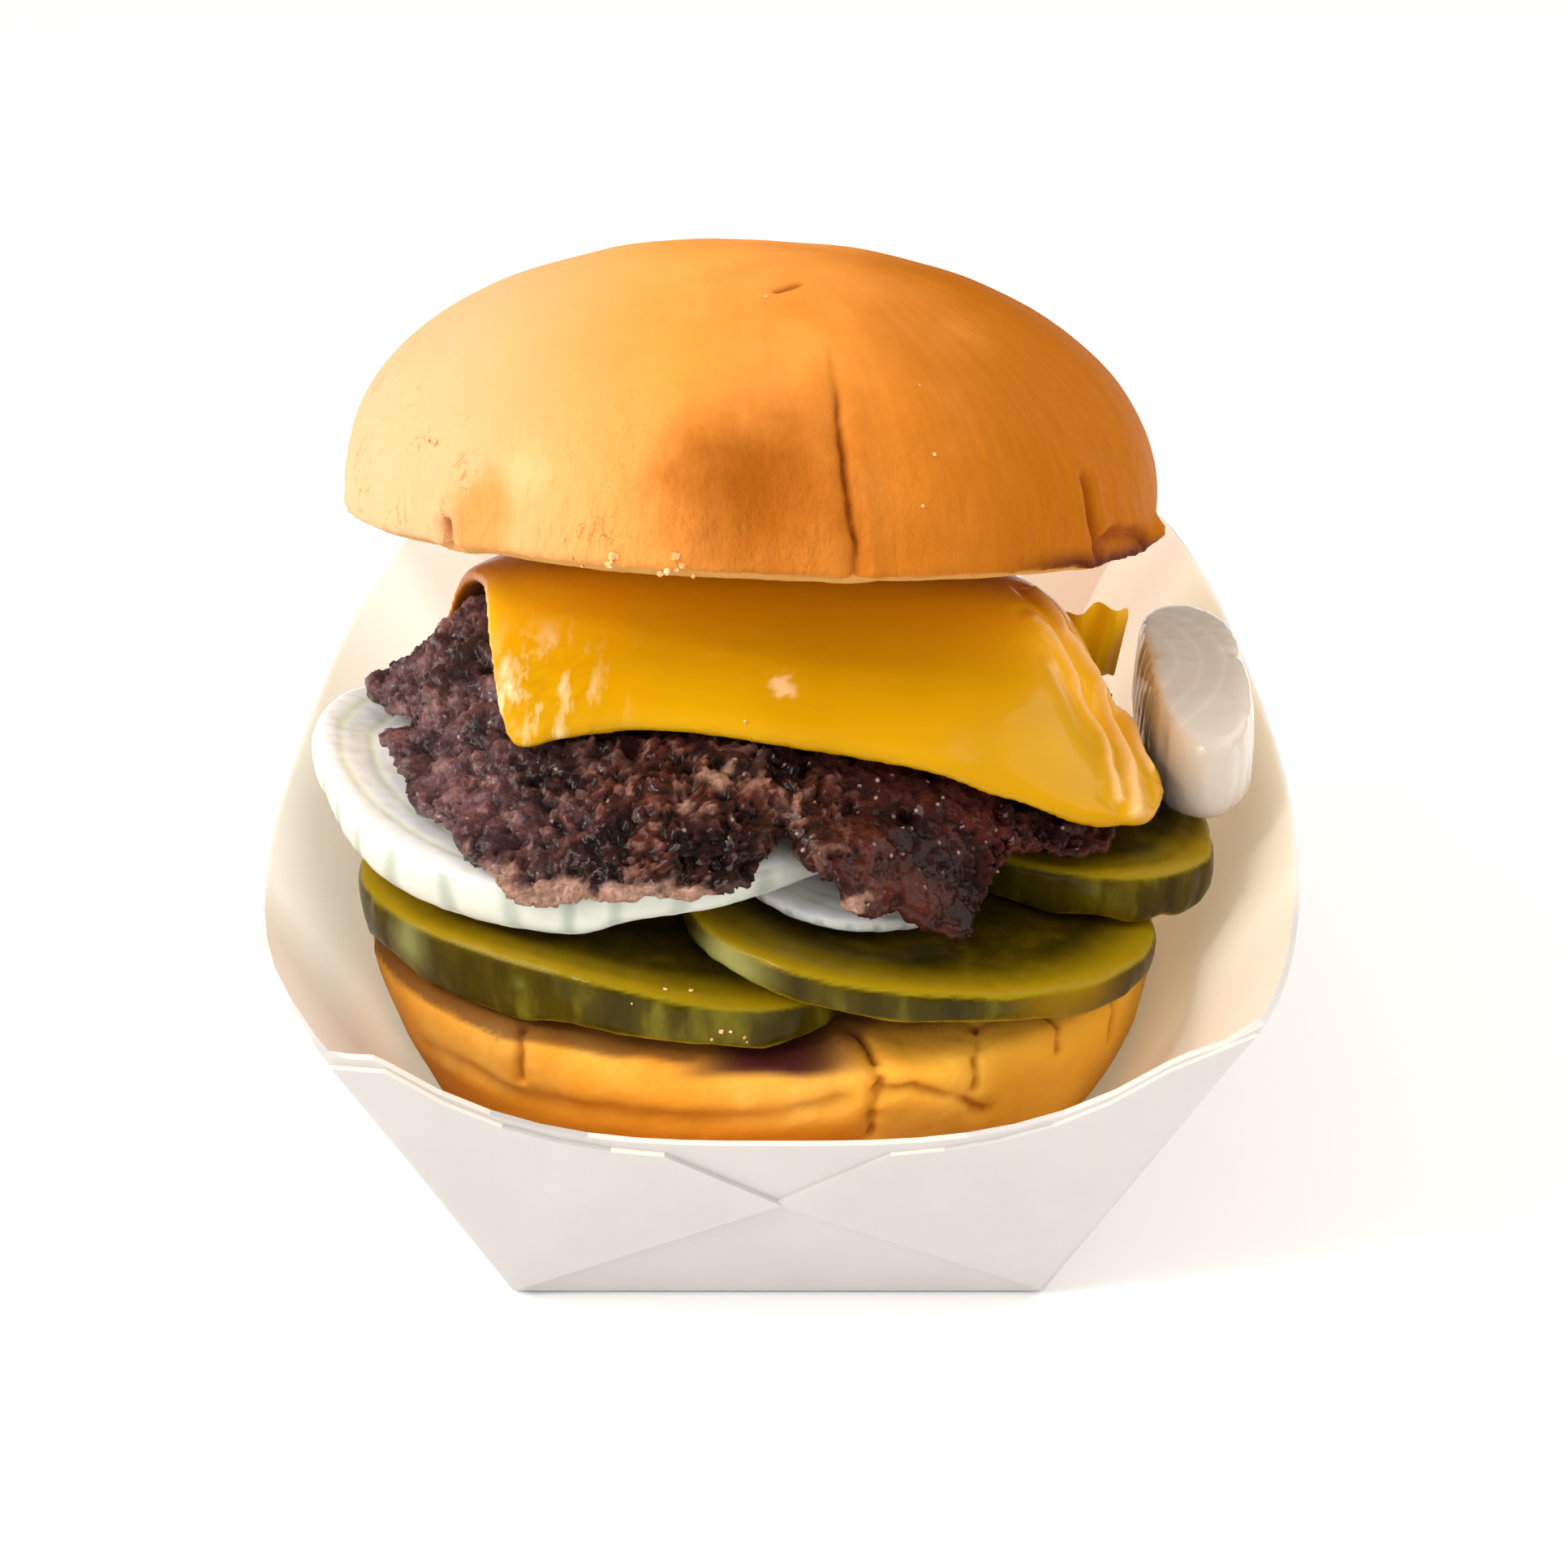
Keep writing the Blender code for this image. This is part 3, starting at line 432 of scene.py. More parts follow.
# The patty is coarsely ground beef pressed thin and seared hard, so that its face is a
# crust of dark grains with deep gaps, and its edge is torn and lacy. Paler fat and pinker
# meat show along the lower edge, and the fat leaves small wet glints. Places are in mm.
PALE_EDGE = ((-45.0, -46.0, 54.0), (-40.0, -54.0, 53.0), (-34.0, -59.5, 52.3), (-29.0, -62.6, 52.0),
             (-22.0, -65.0, 52.4), (-15.4, -67.4, 53.4), (-9.0, -68.4, 53.8))
PALE_SPOTS = (((2.0, -68.5, 54.5), 2.4), ((9.0, -69.0, 54.0), 2.0), ((17.5, -68.5, 50.0), 2.6),
              ((-7.0, -55.5, 62.5), 2.0), ((-9.0, -58.5, 60.5), 1.8), ((-5.2, -53.0, 63.5), 1.5))
PITS = (((14.6, -54.5, 58.2), 1.3, 2.2), ((-37.0, -46.0, 61.0), 1.4, 2.0), ((8.5, -55.0, 60.0), 1.2, 1.6),
        ((-2.5, -53.5, 63.0), 1.0, 1.8))
patty = even_skin("patty_seared", "patty", 0.48)
places, normals = points_of(patty)
x, y, z = places.T
# The relief is strands of mince that change direction, in crags, with cracks between them.
wide = lumps(places, 8.0, 3, 7.0)
torn = places + np.column_stack([lumps(places, 2.6, 3, k) * 1.5 for k in (2.0, 31.0, 57.0)])
strand_gap, _ = grains(torn * np.array([1.0, 0.8, 0.6]), 5.0, 3.0)
_, own = grains(torn * np.array([1.0, 0.8, 0.8]), 1.9, 9.0)
fibre = 1.0 - 2.4 * np.abs(lumps(torn * np.array([1.0, 0.45, 0.85]), 3.0, 3, 12.0))
across = 1.0 - 2.4 * np.abs(lumps(torn * np.array([0.45, 1.0, 0.9]), 2.8, 3, 71.0))
fibre += (across - fibre) * ease(lumps(places, 6.0, 1, 88.0), -0.15, 0.15)
crag = np.abs(lumps(torn * np.array([1.0, 0.7, 0.8]), 6.5, 2, 63.0))
rough = 0.7 * fibre + 0.22 * lumps(places, 1.0, 2, 2.0)
crack = 1.0 - ease(np.abs(lumps(places * np.array([1.0, 0.7, 0.7]), 4.2, 3, 23.0)), 0.0, 0.16)
# From 4 to 26 mm right of the middle the meat was pressed flat, and its relief is lower.
smooth = ease(x + 3.0 * wide, 4.0, 10.0) * (1.0 - ease(x + 3.0 * wide, 20.0, 26.0))
push = 0.7 * wide + (1.0 - 0.55 * smooth) * (
    0.4 * ease(strand_gap, 0.0, 0.25) - 0.4 + 1.6 * (crag - 0.25) + 0.75 * rough - 0.9 * crack)
for spot, width, depth in PITS:
    push -= depth * np.exp(-(np.linalg.norm(places - np.array(spot), axis=1) / width) ** 2)
pale = 1.0 - ease(along(torn, PALE_EDGE) + 0.9 * wide, 1.4, 2.6)
for spot, width in PALE_SPOTS:
    reach = np.linalg.norm((torn - np.array(spot)) * (1.0, 1.0, 1.3), axis=1) + 0.8 * wide
    pale = np.maximum(pale, 1.0 - ease(reach, width * 0.6, width * 1.2))
push = push * (1.0 - 0.45 * pale) + 0.25 * pale
# The marks are the gaps, painted dark as painted shade, the mince's light and dark strands, lighter where
# they stand up as partly painted highlight, and the pale fat.
hollow = np.maximum(1.0 - ease(push - 0.7 * wide, -1.5, -0.1), 0.7 * crack)
shape(patty, places, normals, push, (hollow, 0.5 + 0.5 * rough + 0.5 * (own - 0.5), pale))

seared, tree, shader = finish("seared_ground_beef", 0.4, IOR=1.45, Specular_IOR_Level=0.24, Coat_Weight=0.3,
                              Coat_Roughness=0.12)
where = add(tree, "TexCoord").outputs["Object"]
marks = add(tree, "SeparateXYZ", feeds={0: add(tree, "Attribute", attribute_name="mark").outputs["Vector"]})
# Strands that stand up are lighter, partly their own colour and partly painted highlight.
meat = add(tree, "ValToRGB", feeds={"Fac": marks.outputs["Y"]},
           stops=((0.1, "#36150F"), (0.9, "#C08A78"), (0.5, "#74392C")))
spot = add(tree, "SeparateXYZ", feeds={0: where})
# Toward the left the meat is painted a paler grey-pink, painted light from the lamp on that side.
left = add(tree, "MapRange", {"From Min": -0.016, "From Max": -0.04, "To Max": 0.6},
           {"Value": spot.outputs["X"]})
browned = add(tree, "Mix", {7: linear("#A87C80")}, {0: left.outputs["Result"], 6: meat.outputs["Color"]},
              data_type="RGBA")
right = add(tree, "MapRange", {"From Min": 0.002, "From Max": 0.012}, {"Value": spot.outputs["X"]})
choc = add(tree, "Mix", {7: linear("#622418")}, {0: right.outputs["Result"], 6: browned.outputs[2]},
           data_type="RGBA")
scorch = add(tree, "TexNoise", {"Scale": spaced(7.69), "Detail": 4.0, "Roughness": 0.6}, {"Vector": where})
burnt = add(tree, "ValToRGB", feeds={"Fac": scorch.outputs["Fac"]},
            stops=((0.42, "#FFFFFF"), (0.6, "#4C343A")))
dark = add(tree, "Mix", {0: 0.85}, {6: choc.outputs[2], 7: burnt.outputs["Color"]},
           data_type="RGBA", blend_type="MULTIPLY")
# The gaps are painted near black, painted shade.
deep = add(tree, "Mix", {7: linear("#200B08")}, {0: marks.outputs["X"], 6: dark.outputs[2]},
           data_type="RGBA")
fat = add(tree, "Mix", {7: linear("#D0A088")}, {0: marks.outputs["Z"], 6: deep.outputs[2]},
          data_type="RGBA")
grit = add(tree, "TexNoise", {"Scale": spaced(0.714), "Detail": 5.0, "Roughness": 0.75}, {"Vector": where})
lift = add(tree, "ValToRGB", feeds={"Fac": grit.outputs["Fac"]},
           stops=((0.35, "#8C8484"), (0.65, "#FFFFFF")))
mince = add(tree, "Mix", {0: 0.8}, {6: fat.outputs[2], 7: lift.outputs["Color"]},
            data_type="RGBA", blend_type="MULTIPLY")
# Sparse pale specks, partly the meat's own and partly painted glints.
salt = add(tree, "TexVoronoi", {"Scale": spaced(1.56)}, {"Vector": where})
flecks = add(tree, "MapRange", {"From Min": 0.2, "From Max": 0.08}, {"Value": salt.outputs["Distance"]})
few = add(tree, "MapRange", {"From Min": 0.62, "From Max": 0.7}, {"Value": salt.outputs["Color"]})
sown = add(tree, "Math", feeds={0: flecks.outputs["Result"], 1: few.outputs["Result"]},
           operation="MULTIPLY")
fleck = add(tree, "Mix", {7: linear("#C4A79C")}, {0: sown.outputs["Value"], 6: mince.outputs[2]},
            data_type="RGBA")
tree.links.new(fleck.outputs[2], shader.inputs["Base Color"])
wet = add(tree, "ValToRGB", feeds={"Fac": grit.outputs["Fac"]},
          stops=((0.4, "#9A9A9A"), (0.62, "#4A4A4A")))
tree.links.new(wet.outputs["Color"], shader.inputs["Roughness"])
dimple = add(tree, "Bump", {"Strength": 1.0, "Distance": 0.0006}, {"Height": grit.outputs["Fac"]})
tree.links.new(dimple.outputs["Normal"], shader.inputs["Normal"])
place(patty, "patty", "seared_patty", seared)

# The cheese is one square slice of processed cheese, melted on the patty: smooth and
# shiny, sagging over the patty's edge in front, pulled into long folds on the right where
# it hangs down, and brushed into streaks at the front left. Its cut edges are rounded.
FOLDS = (  # places along each fold, its width and its height, in mm
    (((31.1, -15.2, 69.3), (34.4, -21.2, 66.5), (39.5, -20.2, 59.0), (41.1, -34.7, 57.0),
      (40.6, -50.3, 56.2)), 0.7, 0.9),
    (((30.8, -23.6, 69.2), (35.4, -25.7, 62.0), (38.0, -34.0, 57.9), (38.5, -47.7, 56.6)), 0.55, 0.6),
    (((41.0, -21.0, 58.5), (42.8, -23.5, 55.9), (43.5, -37.4, 55.7)), 0.6, 0.7),
)
STEPS = (0.0, 0.25, 0.5, 0.75, 1.0)
TAN_SPOT = np.array((0.3, -44.7, 69.1))
# The far corner's start, its run to the right, its pleats, their height and its thickness, in mm.
CORNER_FROM, CORNER_ACROSS = (32.0, -12.0, 63.6), (13.0, 9.0, 1.8)
CORNER_PLEATS, CORNER_FOLD, CORNER_THICK = 17.0, 1.1, 2.2


def on_skin(places, path):
    """The path in short steps, each moved to the nearest point of the skin."""
    steps = [np.array(a) + t * (np.array(b) - np.array(a)) for a, b in zip(path, path[1:]) for t in STEPS]
    return [places[np.argmin(np.linalg.norm(places - step, axis=1))] for step in steps]


cheese = even_skin("cheese_slice", "cheese", 0.5, 6)
places, normals = points_of(cheese)
x, y, z = places.T
push = 0.1 * lumps(places, 11.0, 2) + 0.03 * lumps(places, 2.5, 2)
pressed = [on_skin(places, path) for path, _, _ in FOLDS]
for path, (_, width, height) in zip(pressed, FOLDS):
    gap = along(places, path)
    push += height * np.exp(-(gap / width) ** 2) - 0.35 * height * np.exp(-((gap - 2.1) / 0.7) ** 2)
# The marks are the brushed streaks, which carry a painted highlight, the tan of the spot with painted
# highlights along the folds, and the part further back, painted a brighter yellow as painted light against
# the crown's shade.
brushed = np.exp(-(((x + 27.5) / 6.5) ** 2 + ((y + 44.0) / 8.0) ** 2))
strokes = np.array([noise.noise(Vector((p[0] * 0.35 + p[1] * 0.25, p[1] * 1.3 - p[0] * 0.8, p[2] * 0.5)))
                    for p in places])
push += 0.28 * strokes * brushed
reach = np.linalg.norm((places - TAN_SPOT) * (0.8, 0.6, 0.8), axis=1) + 0.8 * lumps(places, 1.6, 2)
tan = 1.0 - ease(reach, 0.7, 1.5)
# Along the folds' ridges the colour turns pale tan, painted highlights.
for path, (_, width, _) in zip(pressed, FOLDS):
    tan = np.maximum(tan, 0.85 * np.exp(-(along(places, path) / width) ** 2))
# The part further back is marked for a brighter yellow, painted light against the crown's shade.
shade = ease(y, -42.0, -26.0)
shape(cheese, places, normals, push, (brushed, tan, shade))

melted, tree, shader = finish("processed_cheese", 0.3, IOR=1.46, Subsurface_Weight=0.1,
                              Subsurface_Scale=0.002, Specular_IOR_Level=0.12, Coat_Weight=0.18,
                              Coat_Roughness=0.1)
shader.inputs["Subsurface Radius"].default_value = (1.0, 0.6, 0.1)
where = add(tree, "TexCoord").outputs["Object"]
marks = add(tree, "SeparateXYZ", feeds={0: add(tree, "Attribute", attribute_name="mark").outputs["Vector"]})
drift = add(tree, "TexNoise", {"Scale": spaced(16.7), "Detail": 3.0}, {"Vector": where})
# The front is a deeper yellow and the part further back a brighter one, painted light against the shade
# under the crown.
tone = add(tree, "ValToRGB", feeds={"Fac": drift.outputs["Fac"]},
           stops=((0.35, "#C89202"), (0.7, "#D29C02")))
under = add(tree, "Mix", {7: linear("#F2B208")}, {0: marks.outputs["Z"], 6: tone.outputs["Color"]},
            data_type="RGBA")
spot = add(tree, "SeparateXYZ", feeds={0: where})
# Just under the crown's front the cheese turns orange-brown, painted shade.
behind = add(tree, "MapRange", {"From Min": -0.025, "From Max": -0.012}, {"Value": spot.outputs["Y"]},
             interpolation_type="SMOOTHSTEP")
inside = add(tree, "MapRange", {"From Min": 0.04, "From Max": 0.034}, {"Value": spot.outputs["X"]})
behind = add(tree, "Math", feeds={0: behind.outputs["Result"], 1: inside.outputs["Result"]},
             operation="MULTIPLY")
under = add(tree, "Mix", {7: linear("#B46604")}, {0: behind.outputs["Value"], 6: under.outputs[2]},
            data_type="RGBA")
# Fine hair-like lines in the brushed streaks are painted near-white, a painted highlight.
comb = add(tree, "Mapping",
           {"Scale": (spaced(2.63), spaced(8.33), spaced(8.33)), "Rotation": (0.0, 0.0, 0.7)},
           {"Vector": where})
hairs = add(tree, "TexNoise", {"Scale": 1.0, "Detail": 4.0, "Roughness": 0.6},
            {"Vector": comb.outputs["Vector"]})
line = add(tree, "ValToRGB", feeds={"Fac": hairs.outputs["Fac"]},
           stops=((0.5, "#000000"), (0.68, "#FFFFFF")))
film = add(tree, "Math", feeds={0: marks.outputs["X"], 1: line.outputs["Color"]}, operation="MULTIPLY")
under = add(tree, "Mix", {7: linear("#FFF0C8")}, {0: film.outputs["Value"], 6: under.outputs[2]},
            data_type="RGBA")
# Tan on the spot, and pale tan along the folds, which is painted highlight.
tanned = add(tree, "Mix", {7: linear("#F6C88C")}, {0: marks.outputs["Y"], 6: under.outputs[2]},
             data_type="RGBA")
tree.links.new(tanned.outputs[2], shader.inputs["Base Color"])
film = add(tree, "TexNoise", {"Scale": spaced(2.38), "Detail": 3.0}, {"Vector": where})
dimple = add(tree, "Bump", {"Strength": 0.12, "Distance": 0.0003}, {"Height": film.outputs["Fac"]})
tree.links.new(dimple.outputs["Normal"], shader.inputs["Normal"])
place(cheese, "cheese", "melted_cheese", melted)

# The slice's far corner hangs past the patty at the right, gathered in pleats.
corner = bmesh.new()
bmesh.ops.create_grid(corner, x_segments=14, y_segments=10, size=0.5)
for v in corner.verts:
    u, down = v.co.x + 0.5, 0.5 - v.co.y
    pleat = CORNER_FOLD * math.sin(u * CORNER_PLEATS + down)
    droop = 3.2 * u ** 4 + down * (4.5 + 4.0 * u)
    off = Vector((-1.5 * down * u, -pleat, -droop - 0.3 * pleat))
    v.co = (Vector(CORNER_FROM) + u * Vector(CORNER_ACROSS) + off) / 1000.0
bmesh.ops.solidify(corner, geom=corner.faces, thickness=CORNER_THICK / 1000.0)
bmesh.ops.recalc_face_normals(corner, faces=corner.faces)
mesh = bpy.data.meshes.new("cheese_corner")
corner.to_mesh(mesh)
corner.free()
mesh.polygons.foreach_set("use_smooth", [True] * len(mesh.polygons))
# The corner takes the brighter yellow of the slice's back, painted light against the shade it hangs in.
mark = mesh.attributes.new("mark", "FLOAT_VECTOR", "POINT")
mark.data.foreach_set("vector", [0.0, 0.0, 1.0] * len(mesh.vertices))
mesh.materials.append(melted)
hanging = bpy.data.objects.new("cheese_corner", mesh)
bpy.context.scene.collection.objects.link(hanging)
soft = hanging.modifiers.new("soft_edges", "SUBSURF")
soft.levels = soft.render_levels = 2
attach(hanging, "root")

# The crown is the upper half of the milk bun, with a thin, smooth crust brushed before
# baking. It has one deep pressed crease in front, a second near the right end with a fold
# of torn crust beside it, a thumb-wide dent, and fine wrinkles low on its front. The brush
# left faint strokes. The crust is painted paler on the left, painted light from the lamp there.
CREASES = (  # places along each crease, its width and its depth, in mm
    (((5.5, -38.6, 106.3), (6.1, -42.9, 103.8), (6.5, -46.6, 100.6), (7.2, -49.4, 96.8),
      (7.9, -51.1, 93.7), (8.0, -52.1, 91.1), (8.3, -52.9, 88.6), (8.2, -53.1, 86.7),
      (8.0, -52.8, 84.8)), 0.42, 1.1),
    (((34.6, -35.5, 90.6), (35.5, -35.7, 85.4), (35.9, -35.5, 82.3)), 0.6, 1.2),
    (((36.2, -35.0, 82.1), (38.5, -31.9, 82.5), (41.4, -28.6, 81.5), (43.2, -24.9, 79.5)), 0.8, 1.1),
    (((-36.9, -40.1, 86.6), (-36.2, -40.4, 84.0)), 0.7, 1.3),
    (((-0.2, -28.0, 110.0), (2.3, -25.8, 110.2)), 0.5, 0.35),
)
# Middle, width and depth of each dent, and of the torn fold, which stands out instead.
DENTS = (((-0.9, -50.6, 95.2), 6.5, 1.5), ((-2.8, -51.6, 91.5), 4.0, 0.6), ((-31.0, -44.0, 90.0), 4.0, 0.6))
TORN_FOLD, FOLD_WIDTH, FOLD_OUT = np.array((45.0, -21.5, 79.4)), 1.3, 2.6
CROWN_UP = np.array((0.04, 0.2054, 0.978))  # the crown lies tilted back
SPOTS = (  # middle, inner and outer reach in m, strength and colour of each spot on the crust
    # The first spot darkens the thumb-wide dent, painted shade.
    ((-0.0015, -0.0505, 0.0945), 0.001, 0.017, 0.92, "#9C5002"),
    ((-0.0328, -0.0434, 0.0885), 0.002, 0.0065, 0.7, "#D98A36"),
    ((-0.0271, -0.0454, 0.0946), 0.0, 0.004, 0.4, "#EDBC84"),
)
STROKES_ROUND = 230.0
crown = even_skin("crown", "top_bun", 0.75, 30)
refine(crown, [path for path, _, _ in CREASES], 2.4)
places, normals = points_of(crown)
x, y, z = places.T
# The marks are the creases, darkened as painted shade, the cut face below, and the darker lower edge at the
# right.
cut = ease(-(normals @ CROWN_UP), 0.55, 0.8)
bent = places + np.column_stack([lumps(places, 5.0, 2, k) * 0.35 for k in (11.0, 23.0, 37.0)])
push = 0.3 * lumps(places, 16.0, 2, 4.0)
split = np.zeros(len(places))
for path, width, depth in CREASES:
    gap = along(bent, path)
    fade = ease(106.5 - z, 0.0, 8.0) if len(path) > 6 else 1.0
    push -= (depth * np.exp(-(gap / width) ** 2) - 0.3 * depth * np.exp(-((gap - 2.0) / 1.2) ** 2)) * fade
    split = np.maximum(split, np.exp(-(gap / width) ** 2) * (0.35 + 0.65 * fade))
for spot, width, depth in DENTS:
    push -= depth * np.exp(-(np.linalg.norm(places - np.array(spot), axis=1) / width) ** 2)
worn = np.exp(-(((x + 15.0) / 16.0) ** 2 + ((z - 93.0) / 8.0) ** 2)) * ease(-y, 35.0, 45.0)
wrinkle = np.abs(lumps(places * np.array([1.0, 1.0, 0.55]), 2.2, 3, 13.0))
push += 0.32 * (wrinkle - 0.3) * (0.1 + worn)
edge = ease(-(normals @ CROWN_UP), 0.1, 0.5) * (1.0 - cut)
reach = np.linalg.norm((places - TORN_FOLD) * (1.0, 0.6, 1.0), axis=1)
push += FOLD_OUT * np.exp(-(reach / FOLD_WIDTH) ** 2)
push += edge * (0.5 + 0.3 * lumps(places, 2.0, 3, 17.0))
shape(crown, places, normals, push, (split, cut, edge * ease(x + 4.0 * lumps(places, 6.0), 24.0, 34.0)))

golden, tree, shader = finish("brushed_bun_crust", 0.52, IOR=1.45, Subsurface_Weight=0.1,
                              Subsurface_Scale=0.002, Specular_IOR_Level=0.06)
where = add(tree, "TexCoord").outputs["Object"]
marks = add(tree, "SeparateXYZ", feeds={0: add(tree, "Attribute", attribute_name="mark").outputs["Vector"]})
patch = add(tree, "TexNoise", {"Scale": spaced(25), "Detail": 4.0, "Roughness": 0.55}, {"Vector": where})
tone = add(tree, "ValToRGB", feeds={"Fac": patch.outputs["Fac"]},
           stops=((0.34, "#EE9238"), (0.68, "#F4A24E")))
spot = add(tree, "SeparateXYZ", feeds={0: where})
cloud = add(tree, "TexNoise", {"Scale": spaced(18.2), "Detail": 3.0, "Roughness": 0.55}, {"Vector": where})
# Right of the middle the crust turns browner, partly its own colour and partly painted shade away from the
# lamp.
reach = add(tree, "Math", {1: 0.04}, {0: cloud.outputs["Fac"], 2: spot.outputs["X"]},
            operation="MULTIPLY_ADD")
baked = add(tree, "MapRange", {"From Min": 0.002, "From Max": 0.05}, {"Value": reach.outputs["Value"]},
            interpolation_type="SMOOTHSTEP")
brown = add(tree, "Mix", {7: linear("#B66802")}, {0: baked.outputs["Result"], 6: tone.outputs["Color"]},
            data_type="RGBA")
# Toward the left it is painted pale, painted light from the lamp there.
faded = add(tree, "MapRange", {"From Min": -0.008, "From Max": -0.046}, {"Value": spot.outputs["X"]},
            interpolation_type="SMOOTHSTEP")
brown = add(tree, "Mix", {7: linear("#DEAE80")}, {0: faded.outputs["Result"], 6: brown.outputs[2]},
            data_type="RGBA")
blotch = add(tree, "TexNoise", {"Scale": spaced(5.88), "Detail": 4.0, "Roughness": 0.6}, {"Vector": where})
for middle, near, far, most, code in SPOTS:
    reach = add(tree, "VectorMath", {1: middle}, {0: where}, operation="DISTANCE")
    ragged = add(tree, "Math", {1: 0.01}, {0: blotch.outputs["Fac"], 2: reach.outputs["Value"]},
                 operation="MULTIPLY_ADD")
    here = add(tree, "MapRange", {"From Min": far + 0.005, "From Max": near + 0.005, "To Max": most},
               {"Value": ragged.outputs["Value"]}, interpolation_type="SMOOTHSTEP")
    brown = add(tree, "Mix", {7: linear(code)}, {0: here.outputs["Result"], 6: brown.outputs[2]},
                data_type="RGBA")
# The brush's strokes run down from the crown's top, and show on the browner right half.
centred = add(tree, "Mapping", {"Location": (0.0036, 0.0056, 0.0)}, {"Vector": where})
turn = add(tree, "TexGradient", feeds={"Vector": centred.outputs["Vector"]}, gradient_type="RADIAL")
stroke = add(tree, "CombineXYZ", {2: 0.0}, {0: turn.outputs["Fac"], 1: spot.outputs["Z"]})
stretch = add(tree, "Mapping", {"Scale": (STROKES_ROUND, spaced(11.1), 1.0)},
              {"Vector": stroke.outputs["Vector"]})
brush = add(tree, "TexNoise", {"Scale": 1.0, "Detail": 4.0, "Roughness": 0.6},
            {"Vector": stretch.outputs["Vector"]})
glaze = add(tree, "ValToRGB", feeds={"Fac": brush.outputs["Fac"]},
            stops=((0.35, "#F7EEE4"), (0.65, "#FFFFFF")))
brown = add(tree, "Mix", feeds={0: baked.outputs["Result"], 6: brown.outputs[2], 7: glaze.outputs["Color"]},
            data_type="RGBA", blend_type="MULTIPLY")
low = add(tree, "MapRange", {"From Min": 0.104, "From Max": 0.09, "To Min": 0.1, "To Max": 1.0},
          {"Value": spot.outputs["Z"]})
# Low on the front the skin puckers into fine folds, with thin brown lines in some of them.
pucker = add(tree, "Mapping", {"Scale": (1.0, 1.0, 0.5)}, {"Vector": where})
skin = add(tree, "TexNoise", {"Scale": spaced(2.38), "Detail": 5.0, "Roughness": 0.6},
           {"Vector": pucker.outputs["Vector"]})
middle = add(tree, "Math", {1: 0.5}, {0: skin.outputs["Fac"]}, operation="SUBTRACT")
fold = add(tree, "Math", feeds={0: middle.outputs["Value"]}, operation="ABSOLUTE")
line = add(tree, "MapRange", {"From Min": 0.02, "From Max": 0.0}, {"Value": fold.outputs["Value"]})
some = add(tree, "MapRange", {"From Min": 0.5, "From Max": 0.62}, {"Value": blotch.outputs["Fac"]})
both = add(tree, "Math", feeds={0: line.outputs["Result"], 1: some.outputs["Result"]},
           operation="MULTIPLY")
drawn = add(tree, "Math", feeds={0: both.outputs["Value"], 1: low.outputs["Result"]},
            operation="MULTIPLY")
brown = add(tree, "Mix", {7: linear("#B86A18")}, {0: drawn.outputs["Value"], 6: brown.outputs[2]},
            data_type="RGBA")
# The creases are painted darker, painted shade in them.
lines = add(tree, "Mix", {7: linear("#A0500A")}, {0: marks.outputs["X"], 6: brown.outputs[2]},
            data_type="RGBA")
crumb = add(tree, "Mix", {7: linear("#D8A35C")}, {0: marks.outputs["Y"], 6: lines.outputs[2]},
            data_type="RGBA")
toast = add(tree, "Mix", {7: linear("#5A2410")}, {0: marks.outputs["Z"], 6: crumb.outputs[2]},
            data_type="RGBA")
tree.links.new(toast.outputs[2], shader.inputs["Base Color"])
pores = add(tree, "TexNoise", {"Scale": spaced(1.11), "Detail": 5.0, "Roughness": 0.6}, {"Vector": where})
dimple = add(tree, "Bump", {"Strength": 0.25, "Distance": 0.0003}, {"Height": pores.outputs["Fac"]})
fine = add(tree, "Bump", {"Distance": 0.0008}, {0: low.outputs["Result"], "Height": skin.outputs["Fac"],
                                                "Normal": dimple.outputs["Normal"]})
tree.links.new(fine.outputs["Normal"], shader.inputs["Normal"])
place(crown, "top_bun", "bun_crown", golden)

# Loose crumbs of bread and crust, and a few spice grains from the brine, lie where they
# fell: irregular grains of 0.3 to 1 mm, pale inside and golden where crust is on them.
wet_slice = slices["pickle_left"]
CRUMBS = (  # the piece they lie on, the middle and the size in mm, and how many
    (crown, (-1.3, -29.9, 109.8), 0.5, 1), (crown, (-38.9, -35.1, 94.8), 0.7, 2),
    (crown, (15.4, -40.6, 102.8), 0.3, 1), (crown, (16.9, -46.7, 97.0), 0.7, 1),
    (crown, (15.6, -50.0, 92.3), 0.5, 1), (crown, (-17.9, -51.6, 86.3), 0.8, 4),
    (crown, (-10.6, -53.3, 86.4), 0.9, 6), (crown, (-22.0, -50.0, 86.5), 0.6, 3),
    (wet_slice, (-12.2, -67.5, 43.2), 0.5, 2), (wet_slice, (-15.9, -68.4, 41.6), 0.4, 1),
    (wet_slice, (-6.2, -69.4, 38.8), 0.6, 2), (wet_slice, (-3.6, -69.0, 37.7), 0.4, 3),
    (cheese, (-3.6, -49.5, 67.0), 0.5, 1),
)
SCATTER = 1.2  # mm between the crumbs of one group, about
loaf, tree, shader = finish("bread_crumbs", 0.8, IOR=1.45, Specular_IOR_Level=0.2)
where = add(tree, "TexCoord").outputs["Object"]
grain = add(tree, "TexNoise", {"Scale": spaced(1.11), "Detail": 2.0}, {"Vector": where})
tone = add(tree, "ValToRGB", feeds={"Fac": grain.outputs["Fac"]},
           stops=((0.4, "#D9A05A"), (0.6, "#F7DFA8")))
tree.links.new(tone.outputs["Color"], shader.inputs["Base Color"])
heap = bmesh.new()
random = np.random.default_rng(7)
bpy.context.view_layer.update()
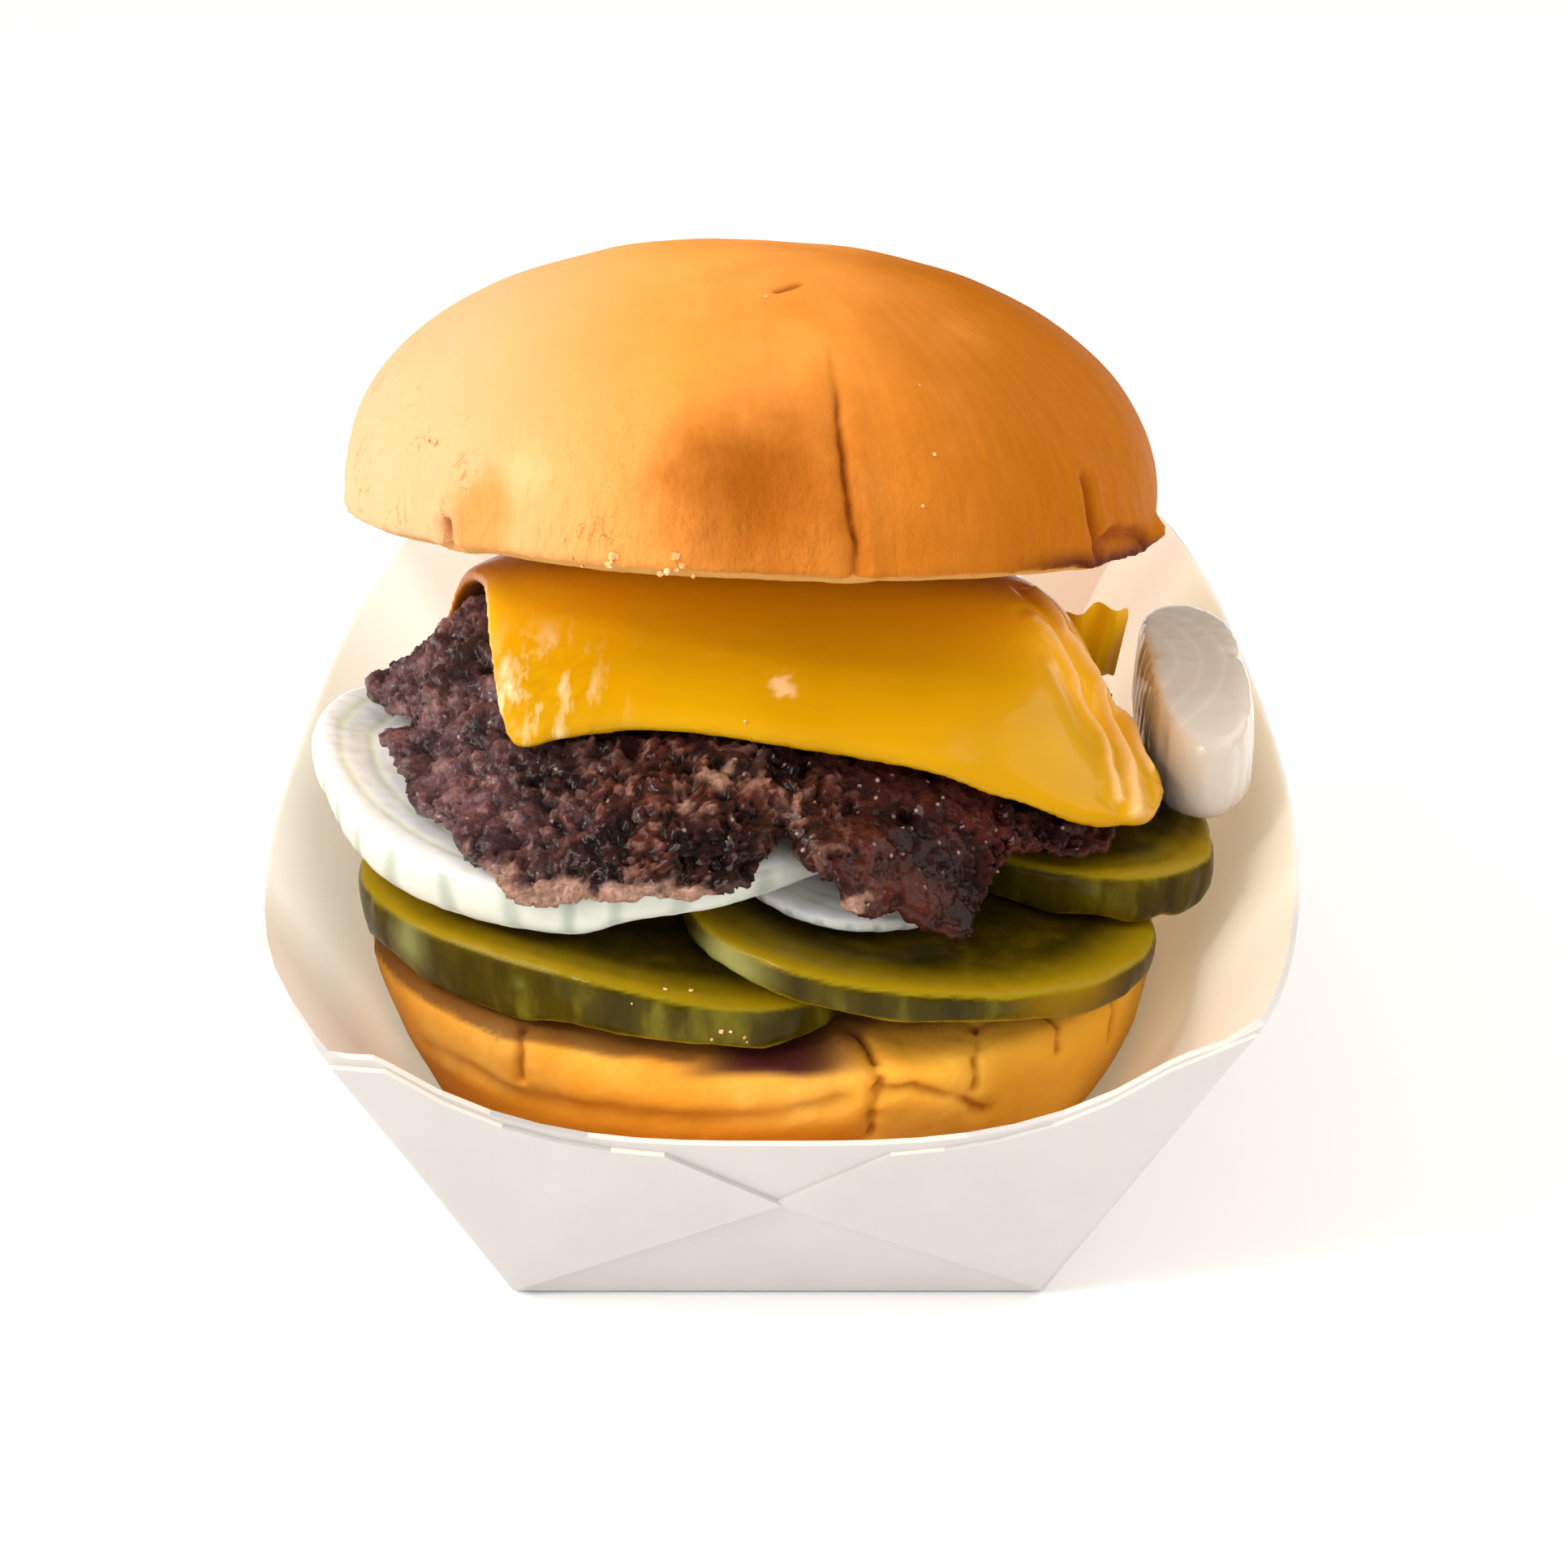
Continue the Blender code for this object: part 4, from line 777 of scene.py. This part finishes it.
for under_it, middle, size, count in CRUMBS:
    for i in range(count):
        aim = (np.array(middle) + (0.0 if i == 0 else 1.0) * random.normal(0.0, SCATTER, 3)) / 1000.0
        _, seat, up, _ = under_it.closest_point_on_mesh(Vector(aim))
        radius = 0.0005 * size * random.uniform(0.7, 1.2)
        grown = bmesh.ops.create_icosphere(heap, subdivisions=1, radius=radius)["verts"]
        for v in grown:
            v.co *= random.uniform(0.7, 1.25)
        bmesh.ops.scale(heap, verts=grown, vec=random.uniform(0.6, 1.3, 3))
        bmesh.ops.translate(heap, verts=grown, vec=seat + up * 0.0001)
mesh = bpy.data.meshes.new("crumbs")
heap.to_mesh(mesh)
heap.free()
mesh.materials.append(loaf)
crumbs = bpy.data.objects.new("crumbs", mesh)
bpy.context.scene.collection.objects.link(crumbs)
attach(crumbs, "root")

# The studio is a plain pale floor, one broad soft light from the left, a small one beside
# it for glints, a fill from the right and a pale sky. The camera looks down by 25 degrees
# at the front of the tray.
AIM = Vector((0.0, -0.02, 0.06))
CAMERA_AT, CAMERA_DOWN, LENS, SENSOR = (0.0007, -0.32238, 0.18646), 25.0, 61.491, 36.0
sheet = bmesh.new()
bmesh.ops.create_grid(sheet, x_segments=1, y_segments=1, size=4.0)
bmesh.ops.translate(sheet, verts=sheet.verts, vec=(0.0, 0.0, -0.0004))
mesh = bpy.data.meshes.new("floor")
sheet.to_mesh(mesh)
sheet.free()
floor = bpy.data.objects.new("floor", mesh)
bpy.context.scene.collection.objects.link(floor)
paper, tree, shader = finish("pale_backdrop", 0.9)
shader.inputs["Base Color"].default_value = linear("#FAFAFA")
floor.data.materials.append(paper)

sky = bpy.data.worlds.new("pale_sky")
bpy.context.scene.world = sky
sky.use_nodes = True
sky.node_tree.nodes["Background"].inputs["Color"].default_value = linear("#FFFDFA")
sky.node_tree.nodes["Background"].inputs["Strength"].default_value = 0.95
sky.cycles_visibility.glossy = False


def soft_light(name, place_m, size, power, code):
    """A square soft light aimed at the burger."""
    lamp = bpy.data.lights.new(name, "AREA")
    lamp.shape, lamp.size, lamp.energy, lamp.color = "SQUARE", size, power, linear(code)[:3]
    holder = bpy.data.objects.new(name, lamp)
    holder.location = place_m
    holder.rotation_euler = (AIM - Vector(place_m)).to_track_quat("-Z", "Y").to_euler()
    bpy.context.scene.collection.objects.link(holder)


soft_light("window", (-0.8, -0.3, 0.6), 0.7, 8.0, "#FFFAF2")
soft_light("glint", (-0.5, -0.45, 0.6), 0.09, 1.0, "#FFFFFF")
soft_light("rear_fill", (0.7, 0.2, 0.6), 0.8, 3.2, "#FFF2E4")
bpy.context.scene.view_settings.view_transform = "Standard"

eye = bpy.data.cameras.new("camera")
eye.lens, eye.sensor_width, eye.clip_start = LENS, SENSOR, 0.01
camera = bpy.data.objects.new("camera", eye)
camera.location = CAMERA_AT
camera.rotation_euler = (math.radians(90.0 - CAMERA_DOWN), 0.0, 0.0)
bpy.context.scene.collection.objects.link(camera)
bpy.context.scene.camera = camera
